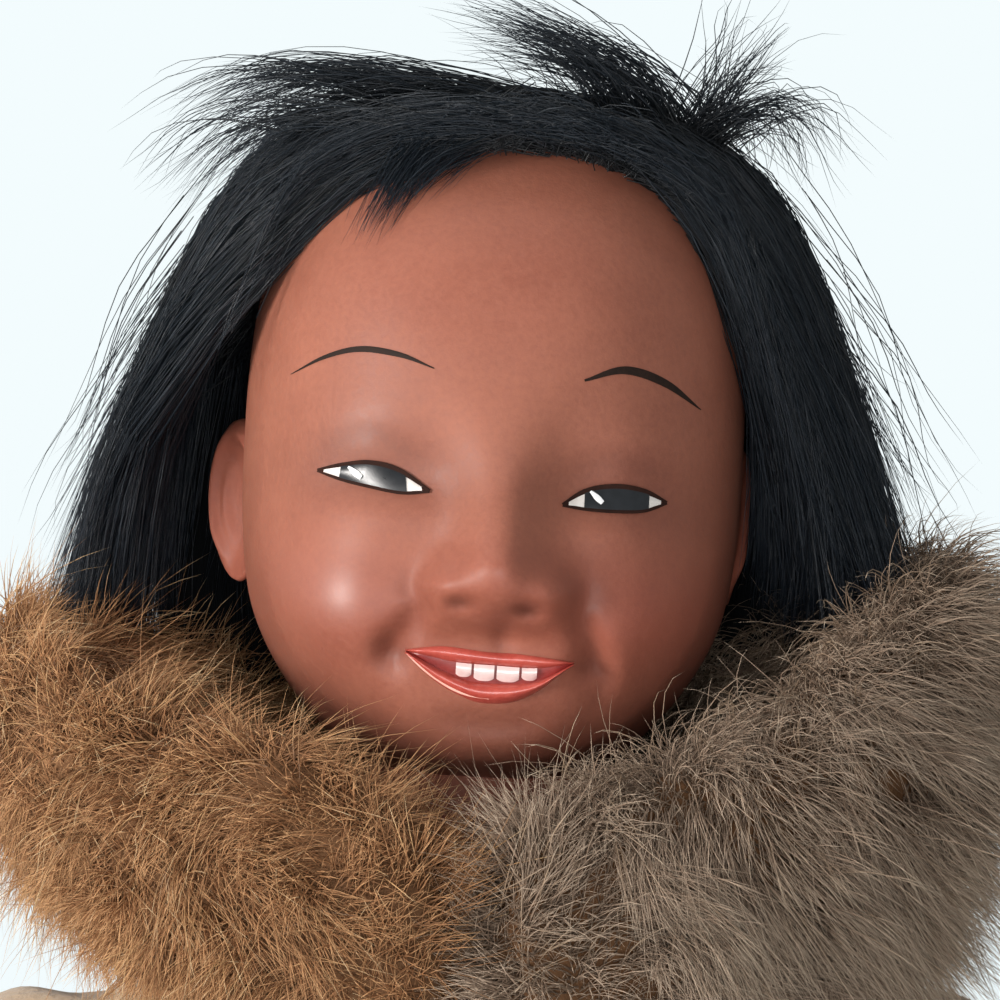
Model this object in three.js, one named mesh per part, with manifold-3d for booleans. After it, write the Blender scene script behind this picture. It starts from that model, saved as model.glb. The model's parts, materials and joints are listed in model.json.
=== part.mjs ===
// A strung doll with a wigged socket head, dressed in a hide parka with a fur collar, trousers and boots.
// Millimetres, +Z up, the doll faces -Y and stands on the floor at z = 0.
import * as THREE from "three";
import { mergeVertices } from "three/addons/utils/BufferGeometryUtils.js";
import Module from "manifold-3d";

const wasm = await Module();
wasm.setup();

// Clearances
const SEAT_GAP = 0.3; // between pieces that rest on each other
const RUN_GAP = 0.5; // between pieces that turn past each other
const CLOTH_EASE = 0.6; // between a limb or the trunk and the garment on it
const FAR = 300; // reach of a cutting block, larger than any piece it cuts

// Joint centres above the floor
const HIP_Z = 160;
const HIP_TO_SHOULDER = 120;
const SHOULDER_TO_NECK = 38;
const SHOULDER_Z = HIP_Z + HIP_TO_SHOULDER;
const NECK_Z = SHOULDER_Z + SHOULDER_TO_NECK;
const HEAD_TILT = THREE.MathUtils.degToRad(3);

// Head, measured from the centre of the neck ball
const HEAD_WIDTH = 61;
const HEAD_HEIGHT = 82;
const FACE_DEPTH = 34;
const NAPE_DEPTH = 36;
const HEAD_SQUARENESS = 2.7;
const HEAD_ROUNDNESS = 2.2;
const HEAD_RISE = 43;
const HEAD_FORWARD = 2;
const HEAD_WALL = 4;
const CROWN_CUT = 74;
const EAR = { out: 29.5, back: 5, up: -8, thick: 3.2, deep: 5.5, tall: 10 };
const NECK_BALL = 15;
const NECK_RADIUS = 13;
const NECK_WALL = 4;
const NECK_HOLE = 5.5;
const NECK_JOIN = 22;

// Face relief: place across and above the head's centre, spread and height
const FACE_RELIEF = [
  { across: 0, up: -16, wide: 4.4, tall: 4.4, proud: 7 },
  { across: 0, up: -7, wide: 3.6, tall: 6, proud: 2.6 },
  { across: 5, up: -17.5, wide: 2.6, tall: 2.8, proud: 2.4, paired: true },
  { across: 18, up: -17, wide: 8, tall: 8.5, proud: 3.4, paired: true },
  { across: 14.5, up: -4.5, wide: 7, tall: 4, proud: -1.6, paired: true },
  { across: 0, up: -26, wide: 10, tall: 6, proud: 2.6 },
  { across: 0, up: -36, wide: 8, tall: 4.5, proud: 2.4 },
];

// Wig
const CAP_EASE = 1.2; // room for the seams inside the cap
const CAP_THICKNESS = 1;
const CAP_EDGE = 46;
const HAIR_BOTTOM = 25;
const HAIR_TOP = 89;
const HAIR_CROWN_SPLIT = 66;
const HAIR_BACK_HALF = 19;
const FACE_OPENING_HALF = 31;
const FACE_OPENING_SPRING = 54;
const FACE_OPENING_TOP = 79;
const HAIR_BOB = [
  { up: HAIR_BOTTOM, half: 49, front: 23, back: 46 },
  { up: 36, half: 47, front: 25, back: 47 },
  { up: 50, half: 43, front: 27, back: 47 },
  { up: 64, half: 38.5, front: 30, back: 45.5 },
  { up: 76, half: 33, front: 32, back: 40 },
  { up: 84, half: 25, front: 27, back: 30 },
  { up: HAIR_TOP, half: 11, front: 14, back: 14 },
];

// Neck fittings, all on spheres about the neck centre
const LINER_THICKNESS = 1;
const BUTTON_THICKNESS = 2.2;
const BUTTON_HOLE = 3.4;
const NECK_CORD = 1.4;
const NECK_KNOT = 3.6;
const CORD_RING_TUBE = 1.2;

// Trunk: outline above the floor, half width, front and back depth
const TRUNK_WALL = 3;
const TRUNK_NECK_RADIUS = 19.5;
const TRUNK_NECK_DROP = 7; // from the neck ball's centre to the trunk's top
const TRUNK_NECK_TOP = NECK_Z - TRUNK_NECK_DROP;
const PELVIS_HALF = 11;
const SHOULDER_SEAT = 27;
const TRUNK = [
  { up: HIP_Z - 10, half: 22, front: 11.5, back: 11.5 },
  { up: HIP_Z - 4, half: 30, front: 16, back: 16 },
  { up: HIP_Z + 12, half: 34, front: 19.5, back: 20 },
  { up: HIP_Z + 40, half: 33, front: 27, back: 23 },
  { up: SHOULDER_Z - 40, half: 32, front: 25, back: 22 },
  { up: SHOULDER_Z - 10, half: 32, front: 23, back: 21 },
  { up: SHOULDER_Z + 4, half: 29, front: 21, back: 20 },
  { up: SHOULDER_Z + 11, half: 21, front: 19, back: 19 },
];

// Parka
const PARKA_DROP = 15; // from the neck ball's centre to the parka's top
const PARKA_TOP = NECK_Z - PARKA_DROP;
const HEM_RISE = 20; // from the hip's axis to the hem at the sides
const HEM_SIDE = HIP_Z + HEM_RISE;
const HEM_SLOPE = 0.27; // rise of the hem towards the front, per millimetre
const HEM_FUR_THICK = 4.5;
const HEM_FUR_TALL = 7;
const PARKA = [
  { up: HEM_SIDE - 20, half: 49, front: 39, back: 39 },
  { up: HEM_SIDE + 10, half: 48, front: 38, back: 38 },
  { up: HEM_SIDE + 35, half: 44, front: 36, back: 34 },
  { up: SHOULDER_Z - 35, half: 40, front: 33, back: 29 },
  { up: SHOULDER_Z - 12, half: 38.8, front: 30, back: 27 },
  { up: SHOULDER_Z + 2, half: 37, front: 27, back: 25.5 },
  { up: SHOULDER_Z + 12, half: 32, front: 25, back: 24.5 },
  { up: PARKA_TOP, half: 25, front: 24, back: 24 },
];

// Fur collar and the cloth funnel that carries it
const COLLAR_SIDE_REACH = 51;
const COLLAR_FRONT_REACH = 46;
const COLLAR_FRONT_DROP = 15; // from the neck ball's centre to the roll's middle
const COLLAR_BACK_DROP = 2;
const COLLAR_FRONT_Z = NECK_Z - COLLAR_FRONT_DROP;
const COLLAR_BACK_Z = NECK_Z - COLLAR_BACK_DROP;
const COLLAR_HALF_THICK = 9.5;
const COLLAR_HALF_TALL = 17;
const COLLAR_LEAN = THREE.MathUtils.degToRad(15);
const LINING_THICKNESS = 2;
const LINING_SINK = 6; // how far the funnel's edge is sewn into the fur

// Trousers
const SEAT_RISE = 37; // from the hip's axis to the trousers' waist
const SEAT_TOP = HIP_Z + SEAT_RISE;
const SEAT_CLOTH = 3.4;
const LEG_LIFT_ROOM = 23; // clear height over the hip axis for a lifted thigh

// Arms, measured from the shoulder axis
const ARM_X = 55.2;
const ARM_SPREAD = THREE.MathUtils.degToRad(13);
const ARM_DISC = 12;
const ARM_BALL = 11;
const SLEEVE_PLANE = 40.2;
const SLEEVE_RADIUS = 15;
const SLEEVE_END_RADIUS = 13;
const SLEEVE_LENGTH = 76;
const CUFF_LENGTH = 14;
const CUFF_RADIUS = 17.5;
const GAUNTLET_RADIUS = 9.8;
const GAUNTLET_GAP = 4; // from the sleeve's end to the mitten's edge
const GAUNTLET_START = SLEEVE_LENGTH + GAUNTLET_GAP;
const MITTEN_LENGTH = 35;
const MITTEN_END = GAUNTLET_START + MITTEN_LENGTH;
const ARM_CORD = 1.5;
const ARM_KNOT = 3.4;
const ARM_WASHER_SEAT = 47;

// Legs, measured from the hip axis
const LEG_X = 28;
const HIP_DISC = 18;
const HIP_DISC_END = 36;
const TROUSER_DRUM = 23.5;
const TROUSER_DRUM_END = 43.5;
const TROUSER_HALF = 16;
const TROUSER_DEEP = 20;
const TROUSER_END_DEEP = 18;
const LEG_CORD = 1.8;
const LEG_KNOT = 3.8;
const LEG_WASHER_SEAT = 21;
const WASHER_THICKNESS = 0.8;
const WASHER_RADIUS = 4.2;

// Boots, measured above the floor
const SOLE_THICKNESS = 4.5;
const SOLE_WELT = 1.5;
const BOOT_TOP = 66;
const BOOT_FUR_TALL = 13;
const BOOT_FUR_THICK = 5;
const TIE_Z = 38;
const TIE_RADIUS = 1.2;
const BOOT = [
  { up: SOLE_THICKNESS + SEAT_GAP, half: 14.5, front: 37, back: 17 },
  { up: 9, half: 15.5, front: 38.5, back: 18 },
  { up: 16, half: 15.5, front: 35, back: 18 },
  { up: 24, half: 15, front: 26.5, back: 17 },
  { up: 32, half: 14.8, front: 20, back: 16 },
  { up: TIE_Z, half: 14.8, front: 17, back: 16.5 },
  { up: 54, half: 15.4, front: 17.2, back: 17 },
  { up: BOOT_TOP, half: 16, front: 18, back: 18 },
];
const LIMB_SEGMENTS = 16;

// Surfaces
const surface = (color, roughness, metalness = 0) =>
  new THREE.MeshStandardMaterial({ color, roughness, metalness });
const SKIN = surface(0x9a5a45, 0.55);
const HAIR = surface(0x141416, 0.5);
const NET = surface(0x2a2523, 0.9);
const FUR = surface(0x7a5636, 0.95);
const HIDE = surface(0xd9c2a0, 0.85);
const LINING = surface(0x6b4a33, 0.9);
const CLOTH = surface(0x3b2f2a, 0.9);
const BOOT_HIDE = surface(0x8c6a48, 0.8);
const SOLE_HIDE = surface(0x4a3424, 0.8);
const ELASTIC = surface(0xd8d2c4, 0.9);
const STEEL = surface(0xa8a9ad, 0.35, 1);
const FELT = surface(0xb9a88f, 0.95);
const WOOD = surface(0xa87b4f, 0.7);

// Solids from geometries
function manifold(vertices, triangles) {
  const mesh = new wasm.Mesh({ numProp: 3, vertProperties: vertices, triVerts: triangles });
  return new wasm.Manifold(mesh);
}

function solid(geometry) {
  const bare = geometry.clone();
  bare.deleteAttribute("normal");
  bare.deleteAttribute("uv");
  const merged = mergeVertices(bare, 1e-4);
  const vertices = new Float32Array(merged.attributes.position.array);
  const index = merged.index.array;
  const kept = [];
  for (let i = 0; i < index.length; i += 3) {
    const [a, b, c] = [index[i], index[i + 1], index[i + 2]];
    if (a !== b && b !== c && c !== a) kept.push(a, b, c);
  }
  const made = manifold(vertices, new Uint32Array(kept));
  return made.volume() > 0 ? made : manifold(vertices, new Uint32Array(kept.reverse()));
}

function piece(name, body, material) {
  const { vertProperties, triVerts } = body.getMesh();
  const geometry = new THREE.BufferGeometry();
  geometry.setAttribute("position", new THREE.BufferAttribute(new Float32Array(vertProperties), 3));
  geometry.setIndex(new THREE.BufferAttribute(new Uint32Array(triVerts), 1));
  geometry.computeVertexNormals();
  const mesh = new THREE.Mesh(geometry, material);
  mesh.name = name;
  return mesh;
}

// Rings of points skinned into a closed solid; a looped skin joins its last ring to its first
function skin(rings, looped = false) {
  const count = rings[0].length;
  const positions = rings.flat().flatMap((p) => [p.x, p.y, p.z]);
  const faces = [];
  const spans = looped ? rings.length : rings.length - 1;
  for (let i = 0; i < spans; i += 1) {
    const next = (i + 1) % rings.length;
    for (let j = 0; j < count; j += 1) {
      const k = (j + 1) % count;
      const [a, b, c, d] = [i * count + j, i * count + k, next * count + j, next * count + k];
      faces.push(a, b, d, a, d, c);
    }
  }
  if (!looped) {
    const last = (rings.length - 1) * count;
    for (let j = 1; j + 1 < count; j += 1) {
      faces.push(0, j + 1, j, last, last + j, last + j + 1);
    }
  }
  const geometry = new THREE.BufferGeometry();
  geometry.setAttribute("position", new THREE.Float32BufferAttribute(positions, 3));
  geometry.setIndex(faces);
  return solid(geometry);
}

// A flat oval ring with its own front and back depth; power 2 is an ellipse, more is squarer
function oval(half, front, back, up, { across = 0, power = 2.3, segments = LIMB_SEGMENTS } = {}) {
  const points = [];
  for (let i = 0; i < segments; i += 1) {
    const angle = (2 * Math.PI * (i + 0.5)) / segments;
    const [c, s] = [Math.cos(angle), Math.sin(angle)];
    const size = (Math.abs(c) ** power + Math.abs(s) ** power) ** (-1 / power);
    const depth = s < 0 ? front : back;
    points.push(new THREE.Vector3(across + half * c * size, depth * s * size, up));
  }
  return points;
}

// An outline list grown outwards, its end rings moved out by the same amount
function grownOutline(outline, grow, options) {
  const last = outline.length - 1;
  return skin(
    outline.map(({ up, half, front, back }, i) => {
      const end = i === 0 ? -grow : i === last ? grow : 0;
      return oval(half + grow, front + grow, back + grow, up + end, options);
    }),
  );
}

function block(x0, x1, y0, y1, z0, z1) {
  const box = new THREE.BoxGeometry(x1 - x0, y1 - y0, z1 - z0);
  return solid(box.translate((x0 + x1) / 2, (y0 + y1) / 2, (z0 + z1) / 2));
}

function turned(profile, segments = LIMB_SEGMENTS) {
  const points = profile.map(([radius, up]) => new THREE.Vector2(radius, up));
  return solid(new THREE.LatheGeometry(points, segments).rotateX(Math.PI / 2));
}

// A body of revolution about the X axis
function turnedAcross(profile, segments = LIMB_SEGMENTS) {
  const points = profile.map(([radius, across]) => new THREE.Vector2(radius, across));
  return solid(new THREE.LatheGeometry(points, segments).rotateZ(-Math.PI / 2));
}

const rodAcross = (radius, x0, x1, segments) =>
  turnedAcross([[0, x0], [radius, x0], [radius, x1], [0, x1]], segments);
const rodUp = (radius, z0, z1, segments) =>
  turned([[0, z0], [radius, z0], [radius, z1], [0, z1]], segments);

function ball(radius, x, y, z, segments = 16) {
  const sphere = new THREE.SphereGeometry(radius, segments, segments / 2);
  return solid(sphere.rotateX(Math.PI / 2).translate(x, y, z));
}

const joined = (...bodies) => bodies.reduce((sum, body) => sum.add(body));

// Points on an arc of a lathe profile, angles in degrees from level
function arc(radius, from, to, steps) {
  const points = [];
  for (let i = 0; i <= steps; i += 1) {
    const angle = THREE.MathUtils.degToRad(from + ((to - from) * i) / steps);
    points.push([radius * Math.cos(angle), radius * Math.sin(angle)]);
  }
  return points;
}

// Head
function headRadius(direction, grow) {
  const across = (Math.abs(direction.x) / (HEAD_WIDTH / 2 + grow)) ** HEAD_SQUARENESS;
  const upright = (Math.abs(direction.z) / (HEAD_HEIGHT / 2 + grow)) ** HEAD_SQUARENESS;
  const level = (direction.y < 0 ? FACE_DEPTH : NAPE_DEPTH) + grow;
  const frontal = (across + upright) ** (HEAD_ROUNDNESS / HEAD_SQUARENESS);
  return (frontal + (Math.abs(direction.y) / level) ** HEAD_ROUNDNESS) ** (-1 / HEAD_ROUNDNESS);
}

function faceRelief(x, z, facing) {
  if (facing <= 0) return 0;
  const bump = ({ up, wide, tall, proud }, across) =>
    proud * Math.exp(-(((x - across) / wide) ** 2 + ((z - up) / tall) ** 2) / 2);
  const height = FACE_RELIEF.reduce((sum, form) => {
    const other = form.paired ? bump(form, -form.across) : 0;
    return sum + bump(form, form.across) + other;
  }, 0);
  return height * Math.min(1, facing * 2);
}

function headForm(grow, columns, rows, withFace = false) {
  const rings = [];
  for (let row = 1; row < rows; row += 1) {
    const rise = Math.PI * (row / rows - 0.5);
    const ring = [];
    for (let column = 0; column < columns; column += 1) {
      const even = 2 * Math.PI * (column / columns) - Math.PI;
      const turn = even - 0.5 * Math.sin(even);
      const direction = new THREE.Vector3(
        Math.sin(turn) * Math.cos(rise),
        -Math.cos(turn) * Math.cos(rise),
        Math.sin(rise),
      );
      const radius = headRadius(direction, grow);
      const face = withFace ? faceRelief(radius * direction.x, radius * direction.z, -direction.y) : 0;
      const point = direction.multiplyScalar(radius + face);
      ring.push(point.add(new THREE.Vector3(0, -HEAD_FORWARD, HEAD_RISE)));
    }
    rings.push(ring);
  }
  return skin(rings);
}

function ears(grow) {
  const ear = (side) => {
    const form = new THREE.SphereGeometry(1, 10, 8);
    form.scale(EAR.thick + grow, EAR.deep + grow, EAR.tall + grow);
    return solid(form.translate(side * EAR.out, EAR.back - HEAD_FORWARD, EAR.up + HEAD_RISE));
  };
  return ear(1).add(ear(-1));
}

function makeHead() {
  const neckTop = Math.sqrt(NECK_BALL ** 2 - NECK_RADIUS ** 2);
  const neckAngle = THREE.MathUtils.radToDeg(Math.atan2(neckTop, NECK_RADIUS));
  const neck = turned([...arc(NECK_BALL, -90, neckAngle, 10), [NECK_RADIUS, NECK_JOIN], [0, NECK_JOIN]]);
  const boreRadius = NECK_BALL - NECK_WALL;
  const boreNeck = NECK_RADIUS - NECK_WALL;
  const boreAngle = THREE.MathUtils.radToDeg(Math.acos(boreNeck / boreRadius));
  const bore = turned([...arc(boreRadius, -90, boreAngle, 8), [boreNeck, NECK_JOIN], [0, NECK_JOIN]]);
  const hollow = headForm(-HEAD_WALL, 16, 8).add(bore);
  const outside = joined(headForm(0, 42, 24, true), ears(0), neck);
  const walled = outside.subtract(hollow).subtract(rodUp(NECK_HOLE, -NECK_BALL - 1, 0));
  const above = block(-FAR, FAR, -FAR, FAR, CROWN_CUT, FAR);
  const overPate = block(-FAR, FAR, -FAR, FAR, CROWN_CUT + SEAT_GAP, FAR);
  const pate = headForm(0, 20, 12).subtract(hollow).intersect(overPate);
  const group = new THREE.Group();
  group.add(piece("head_shell", walled.subtract(above), SKIN));
  group.add(piece("crown_pate", pate, FELT));
  return group;
}

// The arched block that opens the wig over the face
function faceOpening() {
  const shape = new THREE.Shape();
  shape.moveTo(-FACE_OPENING_HALF, -FAR);
  shape.lineTo(FACE_OPENING_HALF, -FAR);
  shape.lineTo(FACE_OPENING_HALF, FACE_OPENING_SPRING);
  shape.absellipse(
    0,
    FACE_OPENING_SPRING,
    FACE_OPENING_HALF,
    FACE_OPENING_TOP - FACE_OPENING_SPRING,
    0,
    Math.PI,
    false,
    0,
  );
  shape.closePath();
  const options = { depth: FAR, bevelEnabled: false, curveSegments: 10 };
  return solid(new THREE.ExtrudeGeometry(shape, options).rotateX(Math.PI / 2));
}

function makeWig() {
  const opening = faceOpening();
  const capInside = headForm(CAP_EASE, 24, 14);
  const capOutside = headForm(CAP_EASE + CAP_THICKNESS, 24, 14);
  const overEdge = block(-FAR, FAR, -FAR, FAR, CAP_EDGE, FAR);
  const cap = capOutside.subtract(capInside).intersect(overEdge).subtract(opening);
  const underHair = joined(headForm(CAP_EASE + CAP_THICKNESS + SEAT_GAP, 24, 14), ears(SEAT_GAP));
  const bob = skin(
    HAIR_BOB.map(({ up, half, front, back }) => oval(half, front, back, up, { segments: 24 })),
  );
  const hair = bob.subtract(underHair).subtract(opening);
  const gap = SEAT_GAP / 2;
  const low = HAIR_CROWN_SPLIT - gap;
  const group = new THREE.Group();
  const add = (name, ...bounds) => group.add(piece(name, hair.intersect(block(...bounds)), HAIR));
  group.add(piece("wig_cap", cap, NET));
  add("hair_crown", -FAR, FAR, -FAR, FAR, HAIR_CROWN_SPLIT + gap, FAR);
  add("hair_left", HAIR_BACK_HALF + gap, FAR, -FAR, FAR, -FAR, low);
  add("hair_right", -FAR, -HAIR_BACK_HALF - gap, -FAR, FAR, -FAR, low);
  add("hair_back", -HAIR_BACK_HALF + gap, HAIR_BACK_HALF - gap, -FAR, FAR, -FAR, low);
  return group;
}

// Neck fittings
const NECK_CUP = NECK_BALL + LINER_THICKNESS + 2 * RUN_GAP;

function sphereRing(inner, outer, hole, rim, steps) {
  const angleAt = (radius) => -THREE.MathUtils.radToDeg(Math.acos(hole / radius));
  const outside = arc(outer, angleAt(outer), rim, steps);
  const inside = arc(inner, rim, angleAt(inner), steps);
  return turned([...outside, ...inside, outside[0]]);
}

function makeNeckLiner() {
  const inner = NECK_BALL + RUN_GAP;
  return piece("neck_liner", sphereRing(inner, inner + LINER_THICKNESS, NECK_HOLE, -32, 3), FELT);
}

const BUTTON_OUTER = NECK_BALL - NECK_WALL - RUN_GAP;

function makeNeckButton() {
  const ring = sphereRing(BUTTON_OUTER - BUTTON_THICKNESS, BUTTON_OUTER, BUTTON_HOLE, -25, 3);
  return piece("neck_button", ring, WOOD);
}

// Elastic cords; a cord that runs upwards may lean back past another cord on its way
function cordUp(radius, stations) {
  const segments = { power: 2, segments: 8 };
  return skin(
    stations.map(([up, behind]) => {
      const ring = oval(radius, radius, radius, up, segments);
      return ring.map((point) => point.add(new THREE.Vector3(0, behind, 0)));
    }),
  );
}

function makeElastics() {
  const knotReach = BUTTON_OUTER - BUTTON_THICKNESS - RUN_GAP;
  const knotZ = NECK_Z - knotReach + NECK_KNOT;
  const ringRadius = LEG_CORD + SEAT_GAP + CORD_RING_TUBE;
  const pass = ARM_CORD + NECK_CORD + SEAT_GAP;
  const ring = solid(new THREE.TorusGeometry(ringRadius, CORD_RING_TUBE, 6, 12).rotateY(Math.PI / 2));
  const neck = joined(
    ring.translate([0, 0, HIP_Z]),
    cordUp(NECK_CORD, [
      [HIP_Z + ringRadius, 0],
      [SHOULDER_Z - 30, 0],
      [SHOULDER_Z - 8, pass],
      [SHOULDER_Z + 8, pass],
      [NECK_Z - NECK_CUP, 0],
      [knotZ, 0],
    ]),
    ball(NECK_KNOT, 0, 0, knotZ, 8),
  );
  const across = (radius, knot, seat, up) => {
    const reach = seat + 2 * SEAT_GAP + WASHER_THICKNESS + knot;
    const cord = joined(
      rodAcross(radius, -reach, reach, 8),
      ball(knot, reach, 0, 0, 8),
      ball(knot, -reach, 0, 0, 8),
    );
    return cord.translate([0, 0, up]);
  };
  const group = new THREE.Group();
  group.add(piece("neck_elastic", neck, ELASTIC));
  group.add(piece("arm_elastic", across(ARM_CORD, ARM_KNOT, ARM_WASHER_SEAT, SHOULDER_Z), ELASTIC));
  group.add(piece("leg_elastic", across(LEG_CORD, LEG_KNOT, LEG_WASHER_SEAT, HIP_Z), ELASTIC));
  return group;
}

// Mirrors a right-hand cutter to both sides
function bothSides(body) {
  return body.add(body.mirror([1, 0, 0]));
}

// The room that a leg and its trouser sweep beside the pelvis
function hipRoom(grow) {
  const radius = TROUSER_DRUM + RUN_GAP + grow;
  const inner = PELVIS_HALF - grow;
  const outer = TROUSER_DRUM_END + RUN_GAP;
  const drum = rodAcross(radius, inner, outer, 20).translate([0, 0, HIP_Z]);
  const lift = block(inner, outer, -FAR, 0, HIP_Z - FAR, HIP_Z + LEG_LIFT_ROOM + grow);
  return bothSides(drum.add(lift));
}

function shoulderRoom(grow, seat) {
  return bothSides(rodAcross(ARM_DISC + RUN_GAP + grow, seat - grow, FAR).translate([0, 0, SHOULDER_Z]));
}

function makeTrunk() {
  const outline = (grow) => grownOutline(TRUNK, grow);
  const neck = rodUp(TRUNK_NECK_RADIUS, TRUNK[TRUNK.length - 2].up, TRUNK_NECK_TOP, 24);
  const outside = outline(0).add(neck).subtract(hipRoom(0)).subtract(shoulderRoom(0, SHOULDER_SEAT));
  const hollow = outline(-TRUNK_WALL)
    .subtract(hipRoom(TRUNK_WALL))
    .subtract(shoulderRoom(TRUNK_WALL, SHOULDER_SEAT));
  const holes = joined(
    ball(NECK_CUP, 0, 0, NECK_Z, 24),
    rodUp(NECK_HOLE, SHOULDER_Z, NECK_Z),
    rodAcross(ARM_CORD + 1, -SHOULDER_SEAT - 1, SHOULDER_SEAT + 1, 16).translate([0, 0, SHOULDER_Z]),
    rodAcross(LEG_CORD + 1, -PELVIS_HALF - 1, PELVIS_HALF + 1, 16).translate([0, 0, HIP_Z]),
  );
  const shell = outside.subtract(hollow).subtract(holes);
  const group = new THREE.Group();
  const front = shell.intersect(block(-FAR, FAR, -FAR, -SEAT_GAP / 2, -FAR, 2 * FAR));
  const back = shell.intersect(block(-FAR, FAR, SEAT_GAP / 2, FAR, -FAR, 2 * FAR));
  group.add(piece("torso_front", front, SKIN));
  group.add(piece("torso_back", back, SKIN));
  return group;
}

// Garments on the trunk
function makeTrouserSeat() {
  const below = block(-FAR, FAR, -FAR, FAR, -FAR, SEAT_TOP);
  const cloth = grownOutline(TRUNK, CLOTH_EASE + SEAT_CLOTH).subtract(grownOutline(TRUNK, CLOTH_EASE));
  return piece("trouser_seat", cloth.intersect(below).subtract(hipRoom(0)), CLOTH);
}

const hemHeight = (y) => HEM_SIDE - HEM_SLOPE * y;

function underHem() {
  const shape = new THREE.Shape();
  shape.moveTo(-FAR, -FAR);
  shape.lineTo(FAR, -FAR);
  shape.lineTo(FAR, hemHeight(FAR));
  shape.lineTo(-FAR, hemHeight(-FAR));
  const wedge = new THREE.ExtrudeGeometry(shape, { depth: 2 * FAR, bevelEnabled: false });
  wedge.rotateX(Math.PI / 2).rotateZ(Math.PI / 2);
  return solid(wedge.translate(-FAR, 0, 0));
}

function makeParka() {
  const outside = grownOutline(PARKA, 0, { segments: 24 });
  const seatRoom = grownOutline(TRUNK, 2 * CLOTH_EASE + SEAT_CLOTH).intersect(
    block(-FAR, FAR, -FAR, FAR, -FAR, SEAT_TOP + SEAT_GAP),
  );
  const neckRoom = rodUp(TRUNK_NECK_RADIUS + CLOTH_EASE, SHOULDER_Z, FAR + PARKA_TOP, 24);
  const body = outside
    .subtract(grownOutline(TRUNK, CLOTH_EASE))
    .subtract(seatRoom)
    .subtract(neckRoom)
    .subtract(shoulderRoom(CLOTH_EASE, SHOULDER_SEAT))
    .subtract(hipRoom(0))
    .subtract(underHem());
  const steps = 24;
  const rings = [];
  for (let i = 0; i < steps; i += 1) {
    const angle = (2 * Math.PI * i) / steps;
    const half = PARKA[1].half + HEM_FUR_THICK / 2;
    const deep = PARKA[1].front + HEM_FUR_THICK / 2;
    const [out, along] = [Math.cos(angle), Math.sin(angle)];
    const centre = hemHeight(deep * along) + HEM_FUR_TALL * 0.8;
    const ring = [];
    for (let j = 0; j < 6; j += 1) {
      const round = (2 * Math.PI * j) / 6;
      const reach = HEM_FUR_THICK * Math.cos(round);
      const up = centre + HEM_FUR_TALL * Math.sin(round);
      ring.push(new THREE.Vector3((half + reach) * out, (deep + reach) * along, up));
    }
    rings.push(ring);
  }
  const trim = skin(rings, true).subtract(grownOutline(PARKA, SEAT_GAP, { segments: 24 }));
  const group = new THREE.Group();
  group.add(piece("parka_body", body, HIDE));
  group.add(piece("parka_hem_fur", trim, FUR));
  return group;
}

// Collar: a loop of leaning oval sections, lowest at the front
function collarSection(angle) {
  const [side, ahead] = [Math.sin(angle), -Math.cos(angle)];
  const centreZ = COLLAR_FRONT_Z + (COLLAR_BACK_Z - COLLAR_FRONT_Z) * Math.abs(Math.sin(angle / 2));
  const at = (reach, up) =>
    new THREE.Vector3(
      (COLLAR_SIDE_REACH + reach) * side,
      (COLLAR_FRONT_REACH + reach) * ahead,
      centreZ + up,
    );
  return { at, centreZ };
}

function collarLoop(steps, section) {
  const rings = [];
  for (let i = 0; i < steps; i += 1) rings.push(section((2 * Math.PI * i) / steps));
  return skin(rings, true);
}

function collarLining(grow) {
  const foot = TRUNK_NECK_RADIUS + CLOTH_EASE + SEAT_GAP;
  return collarLoop(24, (angle) => {
    const { at, centreZ } = collarSection(angle);
    const edge = -COLLAR_HALF_THICK + LINING_SINK + grow;
    const footAt = (radius, up) =>
      new THREE.Vector3(radius * Math.sin(angle), -radius * Math.cos(angle), up);
    const low = PARKA_TOP + SEAT_GAP;
    return [
      footAt(foot - grow, low - grow),
      footAt(foot + LINING_THICKNESS + grow, low - grow),
      at(edge, -grow),
      at(edge, LINING_THICKNESS + grow),
      footAt(foot - grow, Math.min(low + LINING_THICKNESS, centreZ + LINING_THICKNESS) + grow),
    ];
  });
}

function makeCollar() {
  const fur = collarLoop(28, (angle) => {
    const { at } = collarSection(angle);
    const ring = [];
    for (let j = 0; j < 8; j += 1) {
      const round = (2 * Math.PI * j) / 8;
      const thick = COLLAR_HALF_THICK * Math.cos(round);
      const tall = COLLAR_HALF_TALL * Math.sin(round);
      const reach = thick * Math.cos(COLLAR_LEAN) + tall * Math.sin(COLLAR_LEAN);
      ring.push(at(reach, tall * Math.cos(COLLAR_LEAN) - thick * Math.sin(COLLAR_LEAN)));
    }
    return ring;
  }).subtract(collarLining(SEAT_GAP));
  const group = new THREE.Group();
  const half = SEAT_GAP / 2;
  const left = fur.intersect(block(half, FAR, -FAR, FAR, -FAR, 2 * FAR));
  const right = fur.intersect(block(-FAR, -half, -FAR, FAR, -FAR, 2 * FAR));
  group.add(piece("collar_lining", collarLining(0), LINING));
  group.add(piece("collar_left", left, FUR));
  group.add(piece("collar_right", right, FUR));
  return group;
}

// Arms: rings across the arm's own line, which spreads outwards from the shoulder
function armRing(along, across, deep, { ahead = 0, segments = 12 } = {}) {
  const centre = new THREE.Vector3(Math.sin(ARM_SPREAD), 0, -Math.cos(ARM_SPREAD));
  centre.multiplyScalar(along).add(new THREE.Vector3(ARM_X, -ahead, 0));
  const points = [];
  for (let i = 0; i < segments; i += 1) {
    const angle = (2 * Math.PI * i) / segments;
    const out = across * Math.cos(angle);
    const offset = new THREE.Vector3(out * Math.cos(ARM_SPREAD), deep * Math.sin(angle), out * Math.sin(ARM_SPREAD));
    points.push(offset.add(centre));
  }
  return points;
}

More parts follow.
